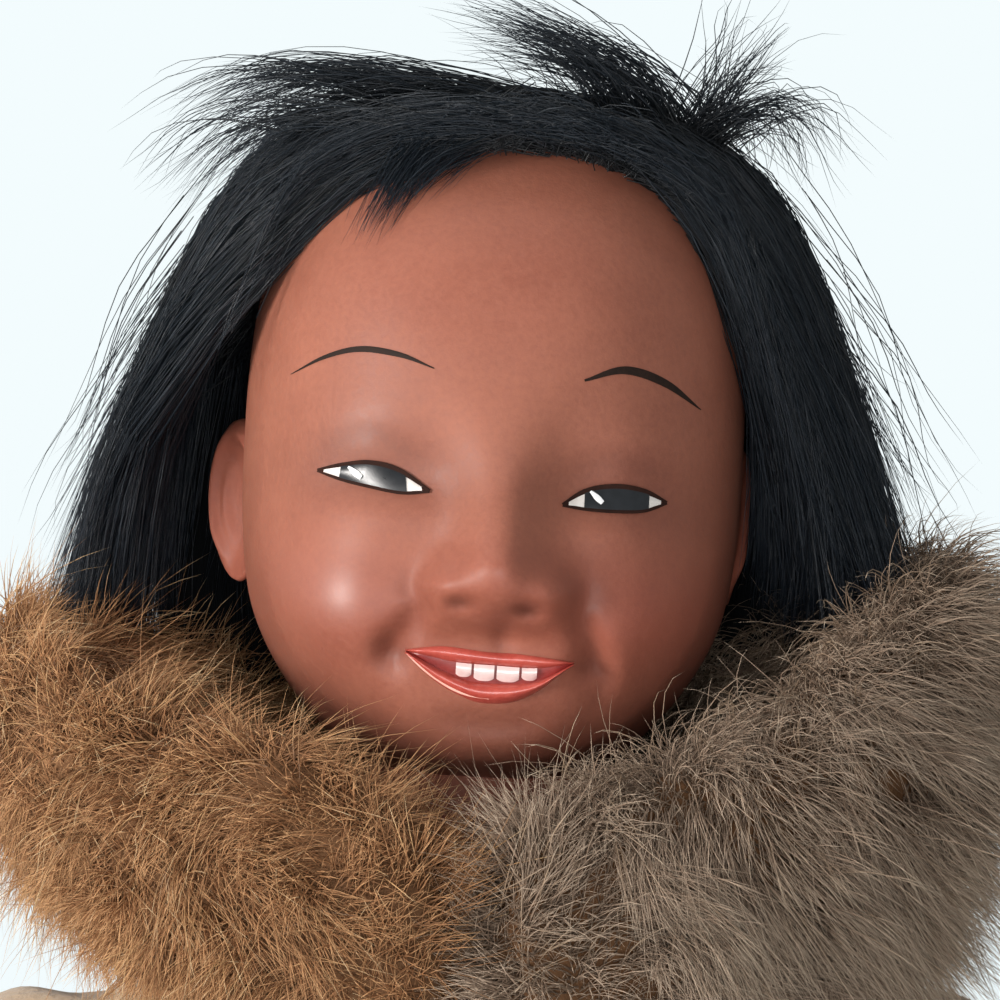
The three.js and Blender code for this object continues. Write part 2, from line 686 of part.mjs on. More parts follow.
function armForm(grow) {
  const wrist = SLEEVE_LENGTH + CUFF_LENGTH;
  const hand = MITTEN_END - 3;
  const limb = skin([
    armRing(0, 10 + grow, 10 + grow),
    armRing(35, 9.4 + grow, 9.4 + grow),
    armRing(wrist - 6, 7.6 + grow, 7.6 + grow),
    armRing(wrist + 1, 6 + grow, 8 + grow),
    armRing(wrist + 10, 5.4 + grow, 9 + grow),
    armRing(hand - 3, 4 + grow, 7 + grow),
    armRing(hand + grow, 1.5, 3),
  ]);
  const disc = rodAcross(ARM_DISC + grow, SHOULDER_SEAT + RUN_GAP - grow, ARM_X);
  return joined(limb, disc, ball(ARM_BALL + grow, ARM_X, 0, 0));
}

const washer = (hole, seat) =>
  rodAcross(WASHER_RADIUS, seat + SEAT_GAP, seat + SEAT_GAP + WASHER_THICKNESS, 10).subtract(
    rodAcross(hole, seat, seat + 2, 10),
  );

function makeArm(side) {
  const bore = rodAcross(ARM_CORD + RUN_GAP, 0, FAR, 10);
  const pocket = rodAcross(WASHER_RADIUS + RUN_GAP, ARM_WASHER_SEAT, FAR, 12);
  const arm = armForm(0).subtract(bore).subtract(pocket);
  const inSleeve = armForm(CLOTH_EASE);
  const outside = joined(
    rodAcross(SLEEVE_RADIUS, SLEEVE_PLANE, ARM_X),
    ball(SLEEVE_RADIUS, ARM_X, 0, 0),
    skin([
      armRing(0, SLEEVE_RADIUS, SLEEVE_RADIUS),
      armRing(SLEEVE_LENGTH, SLEEVE_END_RADIUS, SLEEVE_END_RADIUS),
    ]),
  );
  const sleeve = outside.intersect(block(SLEEVE_PLANE, FAR, -FAR, FAR, -FAR, FAR)).subtract(inSleeve);
  const cuffStart = SLEEVE_LENGTH + SEAT_GAP;
  const cuffRing = (share, radius) => armRing(cuffStart + share * CUFF_LENGTH, radius, radius);
  const cuffHole = GAUNTLET_RADIUS + SEAT_GAP;
  const cuff = skin([
    cuffRing(0, CUFF_RADIUS - 4),
    cuffRing(0.15, CUFF_RADIUS - 1),
    cuffRing(0.5, CUFF_RADIUS),
    cuffRing(0.85, CUFF_RADIUS - 1),
    cuffRing(1, CUFF_RADIUS - 4),
  ]).subtract(skin([cuffRing(-1, cuffHole), cuffRing(2, cuffHole)]));
  const palm = GAUNTLET_START + CUFF_LENGTH;
  const hand = skin([
    armRing(GAUNTLET_START, GAUNTLET_RADIUS, GAUNTLET_RADIUS),
    armRing(palm - 2, GAUNTLET_RADIUS, GAUNTLET_RADIUS),
    armRing(palm + 4, 9, 12),
    armRing(palm + 11, 8.4, 12.4),
    armRing(MITTEN_END - 2, 6, 8.5),
    armRing(MITTEN_END, 3, 4.5),
  ]);
  const thumb = skin([
    armRing(palm, 4, 4, { ahead: 8 }),
    armRing(palm + 5, 4.4, 4.4, { ahead: 12 }),
    armRing(palm + 11, 3.8, 3.8, { ahead: 14 }),
    armRing(palm + 14, 1.6, 1.6, { ahead: 14.4 }),
  ]);
  const mitten = hand.add(thumb).subtract(inSleeve);
  const group = new THREE.Group();
  group.add(piece(`arm_${side}`, arm, SKIN));
  group.add(piece(`arm_washer_${side}`, washer(ARM_CORD + SEAT_GAP, ARM_WASHER_SEAT), STEEL));
  group.add(piece(`sleeve_${side}`, sleeve, HIDE));
  group.add(piece(`cuff_fur_${side}`, cuff, FUR));
  group.add(piece(`mitten_${side}`, mitten, BOOT_HIDE));
  return group;
}

// Legs
const legRing = (up, half, front, back = front) => oval(half, front, back, up - HIP_Z, { across: LEG_X });

function legForm(grow) {
  const ankle = SOLE_THICKNESS + 2.5;
  const limb = skin([
    legRing(ankle - grow, 8 + grow, 28 + grow, 11 + grow),
    legRing(15, 9 + grow, 26 + grow, 12 + grow),
    legRing(24, 8.6 + grow, 15 + grow, 11 + grow),
    legRing(TIE_Z, 8.6 + grow, 9.6 + grow),
    legRing(70, 10.4 + grow, 11.6 + grow),
    legRing(92, 9.8 + grow, 11 + grow),
    legRing(HIP_Z, 10 + grow, 14 + grow),
  ]);
  const start = PELVIS_HALF + RUN_GAP - grow;
  const disc = turnedAcross(
    [
      [0, start],
      [HIP_DISC + grow, start],
      [HIP_DISC + grow, HIP_DISC_END - 6],
      [HIP_DISC - 6 + grow, HIP_DISC_END + grow],
      [0, HIP_DISC_END + grow],
    ],
    18,
  );
  return limb.add(disc);
}

function makeLeg(side) {
  const bore = rodAcross(LEG_CORD + RUN_GAP, 0, FAR, 10);
  const pocket = rodAcross(WASHER_RADIUS + RUN_GAP, LEG_WASHER_SEAT, FAR, 12);
  const leg = legForm(0).subtract(bore).subtract(pocket);
  const inCloth = legForm(CLOTH_EASE);
  const drum = turnedAcross(
    [
      [0, PELVIS_HALF + RUN_GAP],
      [TROUSER_DRUM, PELVIS_HALF + RUN_GAP],
      [TROUSER_DRUM, TROUSER_DRUM_END - 9],
      [TROUSER_DRUM - 3, TROUSER_DRUM_END - 3.5],
      [TROUSER_DRUM - 9, TROUSER_DRUM_END],
      [0, TROUSER_DRUM_END],
    ],
    20,
  );
  const tube = skin([
    legRing(BOOT_TOP + SEAT_GAP, TROUSER_HALF, TROUSER_END_DEEP),
    legRing(BOOT_TOP + 30, TROUSER_HALF, TROUSER_DEEP),
    legRing(HIP_Z, TROUSER_HALF, TROUSER_DEEP),
  ]);
  const trouser = drum.add(tube).subtract(inCloth);
  const bootOutside = skin(BOOT.map(({ up, half, front, back }) => legRing(up, half, front, back)));
  const sole = skin([
    legRing(0, BOOT[0].half + SOLE_WELT, BOOT[0].front + SOLE_WELT, BOOT[0].back + SOLE_WELT),
    legRing(SOLE_THICKNESS, BOOT[0].half + SOLE_WELT, BOOT[0].front + SOLE_WELT, BOOT[0].back + SOLE_WELT),
  ]);
  const furBase = BOOT_TOP + SEAT_GAP;
  const furRing = (share, grow) =>
    legRing(furBase + share * BOOT_FUR_TALL, TROUSER_HALF + grow, TROUSER_DEEP + grow);
  const fur = skin([
    furRing(0, BOOT_FUR_THICK * 0.5),
    furRing(0.2, BOOT_FUR_THICK * 0.95),
    furRing(0.5, BOOT_FUR_THICK),
    furRing(0.8, BOOT_FUR_THICK * 0.9),
    furRing(1, BOOT_FUR_THICK * 0.4),
  ]).subtract(
    skin([
      legRing(BOOT_TOP, TROUSER_HALF + SEAT_GAP, TROUSER_END_DEEP + SEAT_GAP),
      legRing(BOOT_TOP + 30, TROUSER_HALF + SEAT_GAP, TROUSER_DEEP + SEAT_GAP),
    ]),
  );
  const tieAt = BOOT.find(({ up }) => up === TIE_Z);
  const tieRing = (up, grow) => legRing(up, tieAt.half + grow, tieAt.front + grow, tieAt.back + grow);
  const tieGrow = SEAT_GAP + 2 * TIE_RADIUS;
  const tie = skin([
    tieRing(TIE_Z - TIE_RADIUS, tieGrow - TIE_RADIUS * 0.6),
    tieRing(TIE_Z - TIE_RADIUS * 0.4, tieGrow),
    tieRing(TIE_Z + TIE_RADIUS * 0.4, tieGrow),
    tieRing(TIE_Z + TIE_RADIUS, tieGrow - TIE_RADIUS * 0.6),
  ]).subtract(skin(BOOT.map(({ up, half, front, back }) =>
    legRing(up, half + SEAT_GAP, front + SEAT_GAP, back + SEAT_GAP))));
  const group = new THREE.Group();
  group.add(piece(`leg_${side}`, leg, SKIN));
  group.add(piece(`leg_washer_${side}`, washer(LEG_CORD + SEAT_GAP, LEG_WASHER_SEAT), STEEL));
  group.add(piece(`trouser_leg_${side}`, trouser, CLOTH));
  group.add(piece(`boot_upper_${side}`, bootOutside.subtract(inCloth), BOOT_HIDE));
  group.add(piece(`boot_sole_${side}`, sole, SOLE_HIDE));
  group.add(piece(`boot_fur_${side}`, fur, FUR));
  group.add(piece(`boot_tie_${side}`, tie, HIDE));
  return group;
}

// Assembly
function placed(group, up, mirrored = false) {
  group.position.set(0, 0, up);
  if (mirrored) group.scale.x = -1;
  return group;
}

const doll = new THREE.Group();
doll.name = "doll";
doll.add(makeTrunk(), makeElastics(), makeTrouserSeat(), makeParka(), makeCollar());
const headTop = placed(new THREE.Group(), NECK_Z);
headTop.rotation.y = HEAD_TILT;
headTop.add(makeHead(), makeWig(), makeNeckLiner(), makeNeckButton());
doll.add(headTop);
doll.add(placed(makeArm("left"), SHOULDER_Z), placed(makeArm("right"), SHOULDER_Z, true));
doll.add(placed(makeLeg("left"), HIP_Z), placed(makeLeg("right"), HIP_Z, true));

export default doll;
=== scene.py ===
"""Dresses the strung doll's frame: painted head, black wig, fur collar, hide clothes and boots.

Lengths are millimetres in the CAD's frame unless a name says otherwise. Head shapes are given in
the head's own frame: its origin is the neck ball's centre, and it leans by HEAD_LEAN about the
fore-and-aft axis.
"""

import json
import logging
import math
from dataclasses import dataclass, field
from enum import Enum
from typing import Callable, Sequence

import bpy
import numpy as np
from bpy.types import ID, Material, Mesh, Node, NodeSocket, NodeTree, Object
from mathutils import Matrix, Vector

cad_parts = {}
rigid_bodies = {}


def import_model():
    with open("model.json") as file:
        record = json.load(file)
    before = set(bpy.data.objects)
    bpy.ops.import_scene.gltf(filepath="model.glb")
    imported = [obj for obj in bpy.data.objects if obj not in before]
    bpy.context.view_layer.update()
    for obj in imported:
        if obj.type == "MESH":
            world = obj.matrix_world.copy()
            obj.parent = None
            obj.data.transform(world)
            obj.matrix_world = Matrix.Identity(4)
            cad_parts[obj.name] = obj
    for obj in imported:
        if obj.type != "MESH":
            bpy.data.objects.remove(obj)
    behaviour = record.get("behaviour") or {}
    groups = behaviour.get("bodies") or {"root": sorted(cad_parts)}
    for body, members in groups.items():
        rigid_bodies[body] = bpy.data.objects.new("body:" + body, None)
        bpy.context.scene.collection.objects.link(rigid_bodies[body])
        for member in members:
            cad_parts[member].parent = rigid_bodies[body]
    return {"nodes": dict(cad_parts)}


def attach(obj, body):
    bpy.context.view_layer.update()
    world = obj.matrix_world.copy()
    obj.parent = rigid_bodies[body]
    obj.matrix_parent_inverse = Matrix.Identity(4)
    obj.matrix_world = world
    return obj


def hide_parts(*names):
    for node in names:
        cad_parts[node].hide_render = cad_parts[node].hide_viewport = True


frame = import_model()

LOG = logging.getLogger("doll")
MM = 0.001
NECK_HEIGHT = 318.0
HEAD_LEAN = math.radians(3.0)
SHADE_CELLS = 64
CELL_MARGIN = 0.2
ROOT_MARGIN = 0.02
TIP_TAPER = 0.92
FUR_DEPTH = 58.0
FUR_ROOM = 9.0
EAR_EDGE = 15.0
EAR_EDGE_HEIGHT = 50.0
EAR_EDGE_SLOPE = 0.95

Array = np.ndarray
Dice = np.random.Generator
Colour = tuple[float, float, float]
Place = tuple[float, float, float]
Span = tuple[float, float]
Knots = Sequence[tuple[float, ...]]


class Side(Enum):
    """The doll's own two sides, by the sign of X in the frame."""

    RIGHT = -1
    LEFT = 1

    @property
    def word(self) -> str:
        """Returns the side's name as the CAD nodes spell it."""
        return self.name.lower()


# Small numeric helpers


def smooth(low: float, high: float, value: Array) -> Array:
    """Eases values from 0 at low to 1 at high; high may be below low."""
    part = np.clip((value - low) / (high - low), 0.0, 1.0)
    return part * part * (3.0 - 2.0 * part)


def eased(at: Array, knots: Knots, column: int = 1) -> Array:
    """Reads a smooth curve through knots.

    Args:
        at: Places to read, in the knots' first column.
        knots: Rows of place and values, by rising place.
        column: Which value of the rows to read.

    Returns:
        The values at those places.
    """
    table = np.asarray(knots, float)
    places = table[:, 0]
    values = table[:, column]
    slopes = np.gradient(values, places)
    index = np.clip(np.searchsorted(places, at) - 1, 0, len(places) - 2)
    span = places[index + 1] - places[index]
    part = np.clip((at - places[index]) / span, 0.0, 1.0)
    square = part * part
    cube = square * part
    start = values[index] * (2 * cube - 3 * square + 1) + slopes[index] * span * (cube - 2 * square + part)
    end = values[index + 1] * (3 * square - 2 * cube) + slopes[index + 1] * span * (cube - square)
    return start + end


def curve_through(points: Knots, count: int) -> Array:
    """Samples a smooth curve through points.

    Args:
        points: The points that the curve passes through.
        count: How many samples to return.

    Returns:
        An array of count samples.
    """
    table = np.asarray(points, float)
    rows = np.column_stack((np.linspace(0.0, 1.0, len(table)), table))
    at = np.linspace(0.0, 1.0, count)
    return np.column_stack([eased(at, rows, column) for column in range(1, rows.shape[1])])


def unit(vectors: Array) -> Array:
    """Scales vectors in the last axis to length 1."""
    return vectors / np.maximum(np.linalg.norm(vectors, axis=-1, keepdims=True), 1e-9)


def head_to_world(points: Array) -> Array:
    """Takes points from the head's own frame to the CAD's frame.

    Args:
        points: Points in the last axis.

    Returns:
        The same points in the CAD's frame.
    """
    across, deep, up = points[..., 0], points[..., 1], points[..., 2]
    turned_across = across * math.cos(HEAD_LEAN) + up * math.sin(HEAD_LEAN)
    turned_up = up * math.cos(HEAD_LEAN) - across * math.sin(HEAD_LEAN) + NECK_HEIGHT
    return points_at(turned_across, deep, turned_up)


def waves(points: Array, length: float, seed: int, count: int = 5) -> Array:
    """Sums slow sine waves in seeded directions.

    Args:
        points: Points to read.
        length: Typical distance between crests.
        seed: Seed of the directions.
        count: How many waves are summed.

    Returns:
        Values of about -1 to 1.
    """
    dice = np.random.default_rng(seed)
    total = np.zeros(points.shape[:-1])
    for _ in range(count):
        heading = unit(dice.normal(size=3)) * 2.0 * math.pi / (length * dice.uniform(0.7, 1.4))
        total += np.sin(points @ heading + dice.uniform(0.0, 6.3))
    return total / math.sqrt(count)


def bell(far: Array) -> Array:
    """Reads a rounded peak, 1 at its top, at distances that are shares of its width."""
    return np.exp(-0.5 * far ** 2)


def all_round(count: int) -> Array:
    """Lists count angles once round from -pi, without the first one again at the end."""
    return np.linspace(-math.pi, math.pi, count, endpoint=False)


def points_at(across: Array | float, deep: Array | float, up: Array | float) -> Array:
    """Joins coordinates, broadcast to one shape, into points in the last axis."""
    return np.stack(np.broadcast_arrays(across, deep, up), axis=-1)


def ear_edge(up: Array) -> Array:
    """Finds the depth of the wig's front edge over the bare ear, by height in the head's frame."""
    return EAR_EDGE - EAR_EDGE_SLOPE * np.clip(up - EAR_EDGE_HEIGHT, 0.0, None)


# Mesh building


def link(name: str, data: ID) -> Object:
    """Puts a new object into the scene.

    Args:
        name: Name of the object.
        data: Its mesh, light or camera.

    Returns:
        The object.
    """
    made = bpy.data.objects.new(name, data)
    bpy.context.scene.collection.objects.link(made)
    return made


def add_mesh(name: str, points: Array, corners: Array, sizes: Array,
             values: dict[str, Array]) -> Object:
    """Makes a smooth-shaded mesh object.

    Args:
        name: Name of the piece.
        points: Vertex places in millimetres.
        corners: Vertex numbers of all faces, one after another.
        sizes: Corner count of each face.
        values: Values for each vertex, by attribute name.

    Returns:
        The linked object.
    """
    mesh = bpy.data.meshes.new(name)
    mesh.vertices.add(len(points))
    mesh.vertices.foreach_set("co", np.ascontiguousarray(points * MM, np.float32).ravel())
    mesh.loops.add(len(corners))
    mesh.loops.foreach_set("vertex_index", np.ascontiguousarray(corners, np.int32))
    mesh.polygons.add(len(sizes))
    starts = np.concatenate(([0], np.cumsum(sizes)[:-1]))
    mesh.polygons.foreach_set("loop_start", np.ascontiguousarray(starts, np.int32))
    mesh.polygons.foreach_set("use_smooth", np.ones(len(sizes), bool))
    for key, numbers in values.items():
        layer = mesh.attributes.new(key, "FLOAT", "POINT")
        layer.data.foreach_set("value", np.ascontiguousarray(numbers, np.float32))
    mesh.update(calc_edges=True)
    return link(name, mesh)


def grid_faces(rows: int, columns: int, closed: bool) -> Array:
    """Numbers the quads of a grid of vertices.

    Args:
        rows: Rows of vertices.
        columns: Vertices in a row.
        closed: Whether the last column joins the first.

    Returns:
        Quads of vertex numbers.
    """
    across = np.arange(columns if closed else columns - 1)
    down = np.arange(rows - 1)[:, None] * columns
    here = down + across
    beside = down + (across + 1) % columns
    return np.stack((here, beside, beside + columns, here + columns), axis=-1).reshape(-1, 4)


def add_grid(name: str, grid: Array, closed: bool, values: dict[str, Array] | None = None,
             keep: Array | None = None) -> Object:
    """Makes a surface from a grid of points.

    Args:
        name: Name of the piece.
        grid: Points by row and column.
        closed: Whether the columns run round.
        values: Values for each point, by attribute name.
        keep: Which grid points may carry faces; None keeps all.

    Returns:
        The linked object.
    """
    rows, columns = grid.shape[:2]
    quads = grid_faces(rows, columns, closed)
    if keep is not None:
        quads = quads[keep.reshape(-1)[quads].all(axis=1)]
    flat = {key: numbers.reshape(-1) for key, numbers in (values or {}).items()}
    return add_mesh(name, grid.reshape(-1, 3), quads.reshape(-1), np.full(len(quads), 4), flat)


def sides_of(paths: Array, reference: Array) -> tuple[Array, Array]:
    """Finds two directions across paths at each of their steps.

    Args:
        paths: Points by path and step.
        reference: Directions that the paths don't follow.

    Returns:
        Two sets of unit vectors, square to the paths and to each other.
    """
    tangents = unit(np.gradient(paths, axis=1))
    aside = unit(np.cross(tangents, reference))
    return aside, np.cross(aside, tangents)


def add_strands(name: str, paths: Array, radius: Array, tint: Array, thinning: float) -> Object:
    """Makes three-sided tapered hairs along paths.

    The hairs carry "along", 0 at the root and 1 at the tip, and "tint", a shade number in SHADE_CELLS steps.

    Args:
        name: Name of the piece.
        paths: Points by hair and step, in millimetres.
        radius: Root radius of each hair.
        tint: Shade of each hair, 0 to 1.
        thinning: Power of the taper; a high one keeps the width for longer.

    Returns:
        The linked object.
    """
    hairs, steps = paths.shape[:2]
    dice = np.random.default_rng(hairs)
    aside, above = sides_of(paths, unit(dice.normal(size=(hairs, 1, 3))))
    part = np.linspace(0.0, 1.0, steps)
    width = radius[:, None] * (1.0 - TIP_TAPER * part[None, :] ** thinning)
    rings = []
    for corner in range(3):
        angle = 2.0 * math.pi * corner / 3.0
        offset = aside * math.cos(angle) + above * math.sin(angle)
        rings.append(paths + offset * width[..., None])
    body = np.stack(rings, axis=2)[:, :-1].reshape(hairs, -1, 3)
    points = np.concatenate((body, paths[:, -1:]), axis=1)
    size = points.shape[1]
    quads = grid_faces(steps - 1, 3, True)
    last = size - 4
    tips = np.array([[last + corner, last + (corner + 1) % 3, size - 1] for corner in range(3)])
    pattern = np.concatenate((quads.reshape(-1), tips.reshape(-1)))
    corners = (np.arange(hairs)[:, None] * size + pattern).reshape(-1)
    sizes = np.tile(np.concatenate((np.full(len(quads), 4), np.full(3, 3))), hairs)
    cells = np.clip((tint * SHADE_CELLS).astype(int), 0, SHADE_CELLS - 1)
    along = np.concatenate((np.repeat(part[:-1], 3), [1.0]))
    values = {"along": np.tile(along, hairs), "tint": np.repeat((cells + 0.5) / SHADE_CELLS, size)}
    piece = add_mesh(name, points.reshape(-1, 3), corners, sizes, values)
    sides = np.concatenate((np.tile([0.0, 1.0, 1.0, 0.0], len(quads)), np.tile([0.0, 1.0, 0.5], 3)))
    layout = piece.data.uv_layers.new(name="OFBake")
    across = (cells[:, None] + CELL_MARGIN + (1.0 - 2.0 * CELL_MARGIN) * sides[None, :]) / SHADE_CELLS
    upward = ROOT_MARGIN + (1.0 - 2.0 * ROOT_MARGIN) * along[pattern][None, :]
    places = np.stack((across, np.broadcast_to(upward, across.shape)), axis=-1)
    layout.data.foreach_set("uv", np.ascontiguousarray(places, np.float32).ravel())
    return piece


# Finishes


def shade(red: int, green: int, blue: int) -> Colour:
    """Converts a display colour to the renderer's linear colour.

    Args:
        red: Red, 0 to 255.
        green: Green, 0 to 255.
        blue: Blue, 0 to 255.

    Returns:
        The linear colour.
    """
    parts = [value / 255.0 for value in (red, green, blue)]
    linear = [part / 12.92 if part <= 0.04045 else ((part + 0.055) / 1.055) ** 2.4 for part in parts]
    return linear[0], linear[1], linear[2]


class Nodes:
    """A node tree with a short way to add and join nodes."""

    def __init__(self, tree: NodeTree) -> None:
        """Takes an empty shader node tree to fill."""
        self.tree = tree

    def add(self, kind: str, inputs: dict | None = None, **settings) -> Node:
        """Adds a node.

        Args:
            kind: Type name of the node.
            inputs: Values or sockets, by input name or number.
            **settings: Properties of the node.

        Returns:
            The new node.
        """
        made = self.tree.nodes.new(kind)
        for key, value in settings.items():
            setattr(made, key, value)
        for key, value in (inputs or {}).items():
            socket = made.inputs[key]
            if isinstance(value, NodeSocket):
                self.tree.links.new(value, socket)
            elif isinstance(value, tuple) and len(value) == 3 and socket.type == "RGBA":
                socket.default_value = (*value, 1.0)
            else:
                socket.default_value = value
        return made

    def mix(self, part: object, first: object, second: object) -> NodeSocket:
        """Mixes two colours or sockets by the second one's share."""
        made = self.add("ShaderNodeMix", {0: part, 6: first, 7: second}, data_type="RGBA")
        return made.outputs[2]

    def attribute(self, name: str) -> NodeSocket:
        """Reads a value that the mesh's points carry, by its name."""
        return self.add("ShaderNodeAttribute", attribute_name=name).outputs["Fac"]

    def combine(self, operation: str, first: object, second: object) -> NodeSocket:
        """Combines two numbers or sockets by a named operation."""
        return self.add("ShaderNodeMath", {0: first, 1: second}, operation=operation).outputs[0]

    def ranged(self, value: object, ends: dict, curve: str = "LINEAR") -> NodeSocket:
        """Maps a number between ranges; ends that aren't 0 and 1 are given by input name."""
        made = self.add("ShaderNodeMapRange", {"Value": value, **ends}, interpolation_type=curve)
        return made.outputs[0]

    def noise(self, place: object, scale: object, detail: float, roughness: float) -> NodeSocket:
        """Reads cloudy noise at the coordinates of a socket."""
        inputs = {"Vector": place, "Scale": scale, "Detail": detail, "Roughness": roughness}
        return self.add("ShaderNodeTexNoise", inputs).outputs["Fac"]


def group_tree(name: str, inputs: dict[str, str], outputs: dict[str, str]) -> NodeTree:
    """Makes an empty shader node group.

    Args:
        name: Name of the group.
        inputs: Socket types by input name.
        outputs: Socket types by output name.

    Returns:
        The group's tree, with its input and output nodes.
    """
    tree = bpy.data.node_groups.new(name, "ShaderNodeTree")
    for key, kind in inputs.items():
        tree.interface.new_socket(key, in_out="INPUT", socket_type=kind)
    for key, kind in outputs.items():
        tree.interface.new_socket(key, in_out="OUTPUT", socket_type=kind)
    tree.nodes.new("NodeGroupInput")
    tree.nodes.new("NodeGroupOutput")
    return tree


class Effects:
    """Shader effects that several finishes share, each built once."""

    FLOAT = "NodeSocketFloat"
    COLOUR = "NodeSocketColor"
    VECTOR = "NodeSocketVector"

    def __init__(self) -> None:
        """Builds the groups."""
        self.mottle = self._mottle()
        self.strand = self._strand()
        self.weave = self._weave()

    def _mottle(self) -> NodeTree:
        """Builds cloudy colour and a fine grain in the piece's own coordinates.

        Returns:
            A group with a colour, a cloud value and a grain normal.
        """
        tree = group_tree("mottle",
                          {"Low": self.COLOUR, "High": self.COLOUR, "Cloud": self.FLOAT, "Grain": self.FLOAT,
                           "Stretch": self.VECTOR, "Height": self.FLOAT},
                          {"Color": self.COLOUR, "Value": self.FLOAT, "Normal": self.VECTOR})
        nodes = Nodes(tree)
        given = tree.nodes["Group Input"].outputs
        place = nodes.add("ShaderNodeTexCoord").outputs["Object"]
        stretched = nodes.add("ShaderNodeVectorMath", {0: place, 1: given["Stretch"]}, operation="MULTIPLY")
        cloud = nodes.noise(stretched.outputs[0], given["Cloud"], 5.0, 0.6)
        grain = nodes.noise(stretched.outputs[0], given["Grain"], 4.0, 0.65)
        both = nodes.combine("ADD", cloud, grain)
        spread = nodes.ranged(both, {"From Min": 0.72, "From Max": 1.28})
        colour = nodes.mix(spread, given["Low"], given["High"])
        bump = nodes.add("ShaderNodeBump", {"Strength": 1.0, "Distance": given["Height"], "Height": grain})
        out = tree.nodes["Group Output"].inputs
        tree.links.new(colour, out["Color"])
        tree.links.new(spread, out["Value"])
        tree.links.new(bump.outputs[0], out["Normal"])
        return tree

    def _strand(self) -> NodeTree:
        """Builds the colour of a hair from its root to its tip.

        Returns:
            A group with a colour.
        """
        tree = group_tree("strand", {"Root": self.COLOUR, "Body": self.COLOUR, "Tip": self.COLOUR,
                                     "Other": self.COLOUR, "Tip start": self.FLOAT}, {"Color": self.COLOUR})
        nodes = Nodes(tree)
        given = tree.nodes["Group Input"].outputs
        along = nodes.attribute("along")
        body = nodes.mix(nodes.attribute("tint"), given["Body"], given["Other"])
        rise = nodes.ranged(along, {"From Max": 0.45}, "SMOOTHSTEP")
        tipped = nodes.ranged(along, {"From Min": given["Tip start"]}, "SMOOTHSTEP")
        lower = nodes.mix(rise, given["Root"], body)
        colour = nodes.mix(tipped, lower, given["Tip"])
        tree.links.new(colour, tree.nodes["Group Output"].inputs["Color"])
        return tree

    def _weave(self) -> NodeTree:
        """Builds a plain weave of crossing threads.

        Returns:
            A group with a thread height and a normal.
        """
        tree = group_tree("weave", {"Scale": self.FLOAT, "Height": self.FLOAT},
                          {"Value": self.FLOAT, "Normal": self.VECTOR})
        nodes = Nodes(tree)
        given = tree.nodes["Group Input"].outputs
        place = nodes.add("ShaderNodeTexCoord").outputs["Object"]
        threads = {"Vector": place, "Scale": given["Scale"], "Distortion": 0.6}
        warp = nodes.add("ShaderNodeTexWave", threads, bands_direction="X").outputs["Fac"]
        weft = nodes.add("ShaderNodeTexWave", threads, bands_direction="Z").outputs["Fac"]
        both = nodes.combine("MULTIPLY", warp, weft)
        bump = nodes.add("ShaderNodeBump", {"Strength": 1.0, "Distance": given["Height"], "Height": both})
        tree.links.new(both, tree.nodes["Group Output"].inputs["Value"])
        tree.links.new(bump.outputs[0], tree.nodes["Group Output"].inputs["Normal"])
        return tree


EFFECTS = Effects()
MADE: dict["Finish", Material] = {}


@dataclass(frozen=True)
class Finish:
    """A two-tone mottled surface with a fine grain."""

    name: str
    slot: str
    low: Colour
    high: Colour
    cloud: float = 60.0
    grain: float = 900.0
    stretch: Place = (1.0, 1.0, 1.0)
    height: float = 0.0002
    roughness: float = 0.6
    metallic: float = 0.0
    sheen: float = 0.0
    coat: float = 0.0
    specular: float = 0.5
    coat_roughness: float = 0.12
    unevenness: float = 0.15

    def material(self) -> Material:
        """Builds the material once and returns it after that.

        Returns:
            The material.
        """
        if self in MADE:
            return MADE[self]
        made = bpy.data.materials.new(f"finish_{self.name}")
        MADE[self] = made
        made.use_nodes = True
        nodes = Nodes(made.node_tree)
        made.node_tree.nodes.clear()
        surface = self.surface(nodes)
        nodes.add("ShaderNodeOutputMaterial", {"Surface": surface.outputs[0]})
        return made

    def mottle(self, nodes: Nodes) -> Node:
        """Adds the shared mottling's group node."""
        inputs = {"Low": self.low, "High": self.high, "Cloud": self.cloud, "Grain": self.grain,
                  "Stretch": self.stretch, "Height": self.height}
        return nodes.add("ShaderNodeGroup", inputs, node_tree=EFFECTS.mottle)

    def shader(self, nodes: Nodes, inputs: dict) -> Node:
        """Adds the surface shader with this finish's gloss and further inputs by name."""
        gloss = {"Metallic": self.metallic, "Sheen Weight": self.sheen, "Coat Weight": self.coat,
                 "Coat Roughness": self.coat_roughness, "Specular IOR Level": self.specular}
        return nodes.add("ShaderNodeBsdfPrincipled", {**gloss, **inputs})

    def uneven(self, nodes: Nodes, group: Node) -> NodeSocket:
        """Adds a roughness that follows the mottling.

        Args:
            nodes: The material's tree.
            group: The mottling's group node.

        Returns:
            The roughness's socket.
        """
        low = self.roughness * (1.0 - self.unevenness)
        high = min(1.0, self.roughness * (1.0 + self.unevenness))
        return nodes.ranged(group.outputs["Value"], {"To Min": low, "To Max": high})

    def surface(self, nodes: Nodes) -> Node:
        """Builds the surface.

        Args:
            nodes: The material's tree.

        Returns:
            The shader node.
        """
        group = self.mottle(nodes)
        inputs = {"Base Color": group.outputs["Color"], "Roughness": self.uneven(nodes, group),
                  "Normal": group.outputs["Normal"]}
        return self.shader(nodes, inputs)

    def put_on(self, piece: Object) -> None:
        """Gives a new piece or a CAD node's object this finish."""
        piece.data.materials.clear()
        piece.data.materials.append(self.material())


